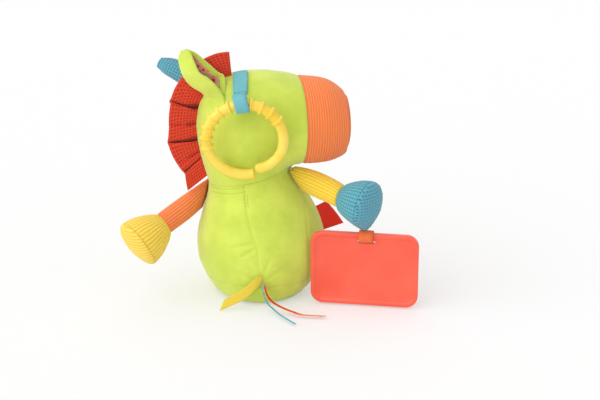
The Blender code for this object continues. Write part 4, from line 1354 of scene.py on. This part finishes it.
def make_left_ear():
    root = joint_place("ear_left_flop")
    opening = Vector(JOINTS["ear_left_flop"]["axis"]).normalized()
    tip = max((v.co for v in NODES["ear_left_outer"].data.vertices), key=lambda co: (co - root).length)
    axis = tip - root
    axis = (axis - opening * axis.dot(opening)).normalized()
    length = reach("ear_left_outer", axis)[1] - root.dot(axis)
    bend = ("head", "ear_left", root, root + axis * EAR_BEND)
    grid = leaf(root, axis, opening, length, -LEFT_FOOT, 1.0, 1.0, *LEAF_GRID)
    outer = ear_cloth(
        "ear_left_leaf", "ear_left_outer", (TEAL_SOLE, "teal_waffle"), grid, (0, -EAR_WALL),
        bend, (1 + LEFT_FOOT) * length, square_waffle,
    )
    grid = leaf(root, axis, opening, length, 0.0, LEFT_LINING, 0.94, *LINING_GRID)
    ear_cloth(
        "ear_left_inside", "ear_left_lining", (LIME, "lime_pile"), grid,
        (LINING_GAP, LINING_GAP + LINING_WALL), bend, LEFT_LINING * length,
    )


make_right_ear()
make_left_ear()
print("ears done")

# %% [markdown]
# ## Ribbons, tab, tail and eye
# The ribbons keep the CAD piece's own shape: a copy is subdivided smoothly, with its cut edges kept
# crisp. The tail's ribbons are thin sheets along their own routes.

# %% Ribbons, tab, tail and eye
CUT_ANGLE = math.radians(50)
EYE_CRISP = 0.4


def smooth_copy(name, node, crisp=1.0):
    """A finer copy of a CAD node, smooth over its faces and crisp along its cut edges."""
    bm = bmesh.new()
    bm.from_mesh(NODES[node].data)
    bmesh.ops.remove_doubles(bm, verts=bm.verts, dist=1e-6)
    bmesh.ops.dissolve_limit(bm, angle_limit=math.radians(1), verts=bm.verts, edges=bm.edges)
    crease = bm.edges.layers.float.get("crease_edge") or bm.edges.layers.float.new("crease_edge")
    for edge in bm.edges:
        if len(edge.link_faces) == 2 and edge.calc_face_angle() > CUT_ANGLE:
            edge[crease] = crisp
    return finer(new_piece(name, bm))


def cloth_piece(name, node, material, body_name, slot):
    """A ribbon or cut of cloth from its CAD node."""
    obj = dress(smooth_copy(name, node), material, body_name, slot, node)
    return obj


strap = cloth_piece("strap", "ring_strap", TEAL_RIBBON, "head", "teal_ribbon")
loop_ribbon = cloth_piece(
    "loop_ribbon", "ring_loop", TEAL_RIBBON, "loop", "teal_ribbon"
)
RIBBON_SET = (
    # ribbon, share of its width, shift and lean towards the snout, lift, and shift back of its far layer
    (strap, 0.9, -0.0008, 0.05, 0.0, 0.0),
    (loop_ribbon, 0.86, 0.0013, 0.14, 0.0011, 0.0030),
)
for ribbon, narrower, shift, lean, lift, behind_shift in RIBBON_SET:
    points = points_of(ribbon.data)
    centre = (points[:, 0].max() + points[:, 0].min()) / 2
    points[:, 0] = centre + (points[:, 0] - centre) * narrower
    points[:, 0] -= shift + lean * (points[:, 2].max() - points[:, 2])
    points[:, 2] += lift
    behind = (points[:, 1].max() - points[:, 1]) / np.ptp(points[:, 1])
    points[:, 0] += behind_shift * behind
    put_points(ribbon.data, points)
cloth_piece(
    "mirror_ribbon", "mirror_strap", ORANGE_RIBBON, "strap", "orange_ribbon",
)
TAB_SUNK = 0.0028
tab = cloth_piece("tab", "side_tab", RED_SATIN, "torso", "red_satin")
put_points(tab.data, points_of(tab.data) + np.array([TAB_SUNK, 0, 0]))
TAIL_ROUTES = {
    # offsets from the tail's joint
    "yellow": [
        (0.001, 0, 0.0055),
        (0.008, 0.0025, 0.001),
        (0.0197, 0.0042, -0.0092),
        (0.0403, 0.0045, -0.0202),
    ],
    "teal": [
        (0, 0, 0.002),
        (0.0004, 0.0005, -0.003),
        (-0.001, 0.0033, -0.0095),
        (-0.0045, 0.006, -0.017),
        (-0.0099, 0.0085, -0.022),
        (-0.0186, 0.021, -0.024),
        (-0.0316, 0.037, -0.025),
    ],
    "orange": [
        (-0.0012, 0, -0.001),
        (-0.0018, 0.0006, -0.0025),
        (-0.0044, 0.0056, -0.009),
        (-0.0098, 0.0072, -0.0155),
        (-0.0185, 0.0095, -0.020),
        (-0.0289, 0.0131, -0.023),
        (-0.0393, 0.0185, -0.024),
        (-0.0593, 0.0205, -0.0245),
    ],
}
TAIL_STEPS = 48
TAIL_COLUMNS = 13
TAIL_WALL = 0.0007
TAIL_OPENS = Vector((0, 0.94, 0.342))


def tail_ribbon(colour, material, width, wings):
    """A ribbon from the tail's joint. wings gives its two edges' directions at a share of its length."""
    root = joint_place("tail_swing")
    line = [root + point for point in smooth_line(TAIL_ROUTES[colour], TAIL_STEPS)]
    rows = []
    for side in np.linspace(-1, 1, TAIL_COLUMNS):
        row = []
        for step, point in enumerate(line):
            edges = wings(step / TAIL_STEPS)
            row.append(point + edges[0 if side < 0 else 1] * (abs(side) * width / 2))
        rows.append(row)
    ribbon = thick_sheet(f"tail_{colour}", rows, TAIL_WALL / 2, -TAIL_WALL / 2)
    dress(ribbon, material, "tail", f"{colour}_ribbon", f"tail_ribbon_{colour}")


def open_wings(share):
    """Edges of a flat ribbon that stands on edge, narrow where it is sewn in, with a slanting end."""
    slant = X_AXIS * (0.4 * max(share - 0.6, 0) / 0.4)
    up = (Z_AXIS - Y_AXIS * 0.2 * share).normalized() * min(0.65 + 1.4 * share, 1)
    return -up + slant, up - slant


def folded_wings(spread):
    """Edges of a ribbon folded in half along its length, open towards the tail's back."""

    def wings(share):
        apart = X_AXIS * (spread * min(share + 0.2, 1))
        return TAIL_OPENS - apart, TAIL_OPENS + apart

    return wings


tail_ribbon("yellow", YELLOW_RIBBON, 0.0115, open_wings)
tail_ribbon("teal", TEAL_RIBBON, 0.0105, folded_wings(0.15))
tail_ribbon("orange", ORANGE_RIBBON, 0.0105, folded_wings(0.4))
dress(smooth_copy("eye", "eye_patch", EYE_CRISP), DARK_THREAD, "head", "dark_thread", "eye_patch")
print("ribbons, tab, tail and eye done")

# %% [markdown]
# ## Ring
# The grip ring is a tube with ribs on its upper arc and a split below. Its centre and axis come from its
# joint, and its two radii from its CAD solid.

# %% Ring
RING_RIBS = 11
RING_RIB_STEP = math.radians(15.7)
RING_FIRST_RIB = math.radians(-11)
RING_RIB_TOP = 0.07
RING_RIB_FOOT = 0.17
RING_SPLIT = math.radians(255)
RING_SPLIT_GAP = math.radians(3)
CUT_END = 0.3
ROUND_END = 1.0
RING_END_INWARD = 0.0046
RING_END_SPAN = math.radians(55)
RING_STEPS = 720
RING_SIDES = 24
RING_TUBE = 0.005
ring_centre = joint_place("ring_turn")
ring_axis = Vector(JOINTS["ring_turn"]["axis"])
ring_up = X_AXIS.cross(ring_axis).normalized() * -1
ring_up *= math.copysign(1, ring_up.z)
cad_ring = points_of(NODES["teething_ring"].data) - np.array(ring_centre)
flat_radius = np.hypot(cad_ring @ np.array(X_AXIS), cad_ring @ np.array(ring_up))
ring_rib = float(np.abs(cad_ring @ np.array(ring_axis)).max())
ring_radius = float((flat_radius.max() + flat_radius.min()) / 2)


def ring_tube_radius(angle, first, last):
    """The tube's radius: swelling into ribs, and rounding off at the split."""
    rib = (angle - RING_FIRST_RIB) / RING_RIB_STEP
    radius = RING_TUBE
    if -0.5 < rib < RING_RIBS - 0.5:
        flank = (RING_RIB_FOOT - abs(rib - round(rib))) / (RING_RIB_FOOT - RING_RIB_TOP)
        flank = unit(flank)
        radius += (ring_rib - RING_TUBE) * flank * flank * (3 - 2 * flank)
    for end, rounding in ((angle - first, CUT_END), (last - angle, ROUND_END)):
        share = end * ring_radius / (RING_TUBE * rounding)
        if share < 1:
            radius -= RING_TUBE * rounding * (1 - math.sqrt(max(1 - (1 - share) ** 2, 0)))
    return max(radius, 0.0001)


first = RING_SPLIT + RING_SPLIT_GAP / 2 - 2 * math.pi
last = RING_SPLIT - RING_SPLIT_GAP / 2
rings = []
for step in range(RING_STEPS + 1):
    angle = first + (last - first) * step / RING_STEPS
    out = X_AXIS * math.cos(angle) + ring_up * math.sin(angle)
    radius = ring_tube_radius(angle, first, last)
    inward = RING_END_INWARD * max(1 - (last - angle) / RING_END_SPAN, 0) ** 1.4
    ring = []
    for j in range(RING_SIDES):
        turn = 2 * math.pi * j / RING_SIDES
        reach_out = ring_radius - inward + radius * math.cos(turn)
        ring.append(ring_centre + out * reach_out + ring_axis * (radius * math.sin(turn)))
    rings.append(ring)
grip_ring = loft("grip_ring", rings, lambda row, side: (side * 0.001, row * 0.001))
dress(grip_ring, RING_PLASTIC, "ring", "yellow_plastic", "teething_ring")
print("ring radius", round(ring_radius, 4), "rib", round(ring_rib, 4))

# %% [markdown]
# ## Mirror plaque
# The plaque is a plate with a raised, rounded rim. Rings of one outline, each a little further in and at
# its own depth, make the whole section, and a cutter makes the ribbon's slot.

# %% Mirror plaque
PLAQUE_ROUND = 0.0014
PLAQUE_RIM = 0.0048
PLAQUE_RECESS = 0.0012
PLAQUE_CORNER = 0.012
PLAQUE_LEAST_CORNER = 0.002
PLAQUE_DROP = 0.0016
PLAQUE_MIDDLE = 0.02
CORNER_STEPS = 12
CUTTER_STEPS = 4
SLOT_WIDTH = 0.018
SLOT_HEIGHT = 0.003
SLOT_CORNER = 0.0013
SLOT_DEPTHS = (-0.01, 0.01)
SLOT_BELOW_BAR = 0.00525
POCKET_CLEARANCE = 0.0008
POCKET_CORNER = 0.0044
POCKET_DEPTHS = (-0.004, 0.0009)
cad_plaque = points_of(NODES["mirror_back"].data)
plaque_along = Vector(JOINTS["mirror_swing"]["axis"])
plaque_along *= -math.copysign(1, plaque_along.x)
thin_way = np.linalg.eigh(np.cov((cad_plaque - cad_plaque.mean(0)).T))[1][:, 0]
plaque_facing = Vector(thin_way)
plaque_facing *= math.copysign(1, plaque_facing.y)
plaque_rise = plaque_facing.cross(plaque_along).normalized()
plaque_rise *= math.copysign(1, plaque_rise.z)


def span(axis):
    along = cad_plaque @ np.array(axis)
    return float(along.min()), float(along.max())


plaque_axes = (plaque_along, plaque_rise, plaque_facing)
spans = [span(axis) for axis in plaque_axes]
plaque_width, plaque_height, plaque_depth = (high - low for low, high in spans)
plaque_half = plaque_depth / 2
plaque_centre = sum((axis * (sum(ends) / 2) for axis, ends in zip(plaque_axes, spans)), Vector())
plaque_height += PLAQUE_DROP
plaque_centre -= plaque_rise * (PLAQUE_DROP / 2)


def round_outline(centre, width, height, corner, depth, steps):
    """An oblong with round corners in the plaque's plane, at a depth along its facing direction."""
    ring = []
    for quarter, (sx, sy) in enumerate(((1, 1), (-1, 1), (-1, -1), (1, -1))):
        for step in range(steps + 1):
            turn = math.pi / 2 * (quarter + step / steps)
            x = sx * (width / 2 - corner) + corner * math.cos(turn)
            y = sy * (height / 2 - corner) + corner * math.sin(turn)
            ring.append(centre + plaque_along * x + plaque_rise * y + plaque_facing * depth)
    return ring


def plaque_ring(inset, depth):
    """The plaque's outline, further in by inset."""
    corner = max(PLAQUE_CORNER - inset, PLAQUE_LEAST_CORNER)
    width, height = plaque_width - 2 * inset, plaque_height - 2 * inset
    return round_outline(plaque_centre, width, height, corner, depth, CORNER_STEPS)


def rounded(inset, depth, way, count=5):
    """Steps of a rounded edge: from the side wall to the face."""
    steps = []
    for step in range(count + 1):
        turn = math.pi / 2 * step / count
        edge_in = inset + PLAQUE_ROUND * (1 - math.cos(turn))
        edge_depth = depth - way * PLAQUE_ROUND * (1 - math.sin(turn))
        steps.append((edge_in, edge_depth))
    return steps


floor_depth = plaque_half - PLAQUE_RECESS
profile = [(PLAQUE_MIDDLE, -plaque_half)]
profile += reversed(rounded(0, -plaque_half, -1))
profile += rounded(0, plaque_half, 1)
profile += [
    # the rim's inner edge, and the floor inside it
    (PLAQUE_RIM - 0.0016, plaque_half),
    (PLAQUE_RIM - 0.0009, plaque_half - 0.0002),
    (PLAQUE_RIM - 0.0003, floor_depth + 0.0003),
    (PLAQUE_RIM + 0.0004, floor_depth),
    (PLAQUE_MIDDLE, floor_depth),
]
rings = [plaque_ring(inset, depth) for inset, depth in profile]
plaque = loft("plaque", rings, lambda row, side: (0.001 * side, 0.001 * row))


def cut_with(obj, cutter):
    boolean = obj.modifiers.new("cut", "BOOLEAN")
    boolean.operation = "DIFFERENCE"
    boolean.object = cutter
    settle(obj)
    bpy.data.objects.remove(cutter)


def block(name, centre, width, height, depths, corner):
    """A cutter: a rounded block, from one depth to the other."""
    rings = [round_outline(centre, width, height, corner, depth, CUTTER_STEPS) for depth in depths]
    return loft(name, rings, lambda row, side: (0, 0))


slot_centre = joint_place("mirror_swing") - plaque_rise * SLOT_BELOW_BAR
cut_with(plaque, block("slot", slot_centre, SLOT_WIDTH, SLOT_HEIGHT, SLOT_DEPTHS, SLOT_CORNER))
glass = points_of(NODES["mirror_sheet"].data)
pocket_width, pocket_height = (
    float(np.ptp(glass @ np.array(axis))) + POCKET_CLEARANCE for axis in (plaque_along, plaque_rise)
)
pocket_centre = Vector(glass.mean(0))
cut_with(plaque, block("pocket", pocket_centre, pocket_width, pocket_height, POCKET_DEPTHS, POCKET_CORNER))
plaque.data.shade_smooth()
plaque.data.set_sharp_from_angle(angle=math.radians(35))
dress(plaque, PLAQUE_PLASTIC, "mirror", "coral_plastic", "mirror_back")
for node, material in (("mirror_bezel", PLAQUE_PLASTIC), ("mirror_sheet", MIRROR)):
    NODES[node].data.materials.clear()
    NODES[node].data.materials.append(material)
print("plaque", round(plaque_width, 3), "x", round(plaque_height, 3), "m")

# %% [markdown]
# ## Stitching
# Top-stitching is a row of short threads that lie on the cloth. A dark thread is wound round the gathered
# tip of the right hoof.

# %% Stitching
STITCH_LENGTH = 0.0024
STITCH_GAP = 0.0009
THREAD_RADIUS = 0.00032
THREAD_LIFT = THREAD_RADIUS * 0.4
NECK_ROWS = (0.0022, 0.0064)
NECK_ROW_TURNS = (math.radians(28), math.radians(92))
NECK_ROW_POINTS = 241
BESIDE_SEAM = (0.0016, -0.0016)
SEAM_ROW_HEIGHTS = (0.112, 0.098)
SEAM_ROW_POINTS = 161
BEHIND = 0.15
STRAP_ROW_INSET = 0.0014
STRAP_ROW_BACK = 0.0035
STRAP_ROW_POINTS = 121
ABOVE = 0.4
TIE_TURNS = 4
TIE_STEPS = 120
TIE_RADII = (0.0062, 0.0026)
TIE_UP = (0.0022, 0.0016)
TIE_BACK = 0.0030
TIE_THREAD = 0.0005


def thread_curve(name, runs, radius):
    """Short threads as one mesh: each run is a list of points."""
    curve = bpy.data.curves.new(name, "CURVE")
    curve.dimensions = "3D"
    curve.bevel_depth = radius
    curve.bevel_resolution = 2
    curve.use_fill_caps = True
    for run in runs:
        line = curve.splines.new("POLY")
        line.points.add(len(run) - 1)
        for point, place in zip(line.points, run):
            point.co = (*place, 1)
    holder = linked(name, curve)
    bpy.context.view_layer.update()
    mesh = bpy.data.meshes.new_from_object(holder.evaluated_get(bpy.context.evaluated_depsgraph_get()))
    bpy.data.objects.remove(holder)
    mesh.shade_smooth()
    return linked(name, mesh)


def stitches(line):
    """Cuts a dense line of points into stitches."""
    runs, run, length, resting = [], [], 0.0, False
    for a, b in zip(line, line[1:]):
        length += (b - a).length
        if resting:
            if length >= STITCH_GAP:
                resting, length = False, 0.0
        else:
            run = run or [a]
            run.append(b)
            if length >= STITCH_LENGTH:
                runs.append(run)
                run, length, resting = [], 0.0, True
    return runs


def laid_row(tree, rays):
    """A line of thread on a cloth: where rays, each a start and a direction, meet it."""
    line = []
    for start, way in rays:
        hit, normal, _, _ = tree.ray_cast(start, way)
        if hit is not None:
            line.append(hit + normal * THREAD_LIFT)
    return line


def neck_row(below):
    """A line on the body at a distance below the neck seam."""
    across = (X_AXIS - NECK_AXIS * NECK_AXIS.x).normalized()
    rays = []
    for turn in np.linspace(*NECK_ROW_TURNS, NECK_ROW_POINTS):
        out = across * math.cos(turn) + Y_AXIS * math.sin(turn)
        rays.append((NECK - NECK_AXIS * below + out * RAY_LENGTH, -out))
    return laid_row(BODY_TREE, rays)


def seam_row(offset):
    """A line beside the back seam."""
    heights = np.linspace(*SEAM_ROW_HEIGHTS, SEAM_ROW_POINTS)
    places = zip(back_seam_x(heights) + offset, heights)
    return laid_row(BODY_TREE, [(Vector((x, BEHIND, height)), -Y_AXIS) for x, height in places])


def strap_row():
    """A line across the strap, near its end on the head."""
    low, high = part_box("ring_strap")
    places = np.linspace(low.x + STRAP_ROW_INSET, high.x - STRAP_ROW_INSET, STRAP_ROW_POINTS)
    return laid_row(tree_of(strap), [(Vector((x, high.y - STRAP_ROW_BACK, ABOVE)), -Z_AXIS) for x in places])


runs = []
for below in NECK_ROWS:
    runs += stitches(neck_row(below))
for offset in BESIDE_SEAM:
    runs += stitches(seam_row(offset))
body_stitching = thread_curve("body_stitching", runs, THREAD_RADIUS)
dress(body_stitching, LIME_THREAD, "torso", "lime_pile")

strap_stitching = thread_curve("strap_stitching", stitches(strap_row()), THREAD_RADIUS)
dress(strap_stitching, TEAL_THREAD, "head", "teal_ribbon")

arm_axis = (middle("hoof_right_sole") - joint_place("arm_right_swing")).normalized()
tie_across, tie_up = frame_along(arm_axis)
tie_place = joint_place("mirror_strap_swing") - arm_axis * TIE_BACK
turns = []
for step in range(TIE_STEPS + 1):
    turn = 2 * math.pi * TIE_TURNS * step / TIE_STEPS
    place = tie_place + tie_up * (TIE_UP[0] + TIE_UP[1] * step / TIE_STEPS)
    place += tie_across * (TIE_RADII[0] * math.cos(turn)) + arm_axis * (TIE_RADII[1] * math.sin(turn))
    turns.append(place)
tie = thread_curve("hoof_tie", [turns], TIE_THREAD)
dress(tie, BROWN_THREAD, "arm_right", "dark_thread")
bpy.data.objects.remove(SKIN)
print("stitching done")

# %% [markdown]
# ## Stage
# A pale floor, a white surround for the camera, and soft light from the upper left.


# %% Stage
def sun(name, source, strength, softness):
    """Even light from a wide patch of sky in the direction of source."""
    light = bpy.data.lights.new(name, "SUN")
    light.energy = strength
    light.angle = math.radians(softness)
    holder = linked(name, light)
    holder.rotation_euler = Vector(source).to_track_quat("Z", "Y").to_euler()


VIEW_TARGET = Vector((-0.039, 0, 0.0918))
VIEW_PLACE = Vector((-0.039, 1.5035, 0.639))
LENS = 96
SENSOR = 36
FLOOR_SIZE = 6
FLOOR_GAP = 0.0003
FLOOR_GREY = 0.92
FLOOR_GLOW = 0.42
SKY_LIGHT = 0.56
SUNS = (
    # name, where the light comes from, its strength and its softness in degrees
    ("key", (1.2, 0.7, 1.05), 1.6, 75),
    ("fill", (-0.8, 1.0, 0.6), 0.45, 120),
    ("top", (0.1, -0.5, 1.0), 0.45, 60),
)
camera = linked("camera", bpy.data.cameras.new("camera"))
camera.location = VIEW_PLACE
camera.rotation_euler = (VIEW_TARGET - VIEW_PLACE).to_track_quat("-Z", "Y").to_euler()
camera.data.lens = LENS
camera.data.sensor_width = SENSOR
bpy.context.scene.camera = camera

floor = linked("floor", bpy.data.meshes.new("floor"))
bm = bmesh.new()
bmesh.ops.create_grid(bm, x_segments=2, y_segments=2, size=FLOOR_SIZE)
bm.to_mesh(floor.data)
bm.free()
floor.location.z = -FLOOR_GAP
floor_material, floor_shader, floor_wire = new_material("floor", 0.9)
floor_shader.inputs["Base Color"].default_value = (FLOOR_GREY, FLOOR_GREY, FLOOR_GREY, 1)
seen = floor_wire.node("ShaderNodeLightPath", out="Is Camera Ray")
glow = floor_wire.node("ShaderNodeEmission", sockets={"Strength": 1.0})
shader_out = Wire(floor_wire.tree, floor_shader.outputs[0])
mixed = floor_wire.node("ShaderNodeMixShader", sockets={0: seen * FLOOR_GLOW, 1: shader_out, 2: glow})
floor_wire.give(floor_wire.tree.nodes["Material Output"].inputs["Surface"], mixed)
floor.data.materials.append(floor_material)

world = bpy.data.worlds.new("studio")
bpy.context.scene.world = world
world.use_nodes = True
sky = Wire(world.node_tree)
paths = sky.node("ShaderNodeLightPath").socket.node.outputs
kinds = ("Camera", "Glossy", "Transmission")
rays = [Wire(world.node_tree, paths[f"Is {kind} Ray"]) for kind in kinds]
direct = (rays[0] + rays[1] + rays[2]).clamp()
strength = direct * (1 - SKY_LIGHT) + SKY_LIGHT
backdrop = sky.node("ShaderNodeBackground", sockets={"Color": (1, 1, 1, 1), "Strength": strength})
sky.give(world.node_tree.nodes["World Output"].inputs["Surface"], backdrop)

for light in SUNS:
    sun(*light)
bpy.context.scene.view_settings.view_transform = "Standard"
print("stage done")
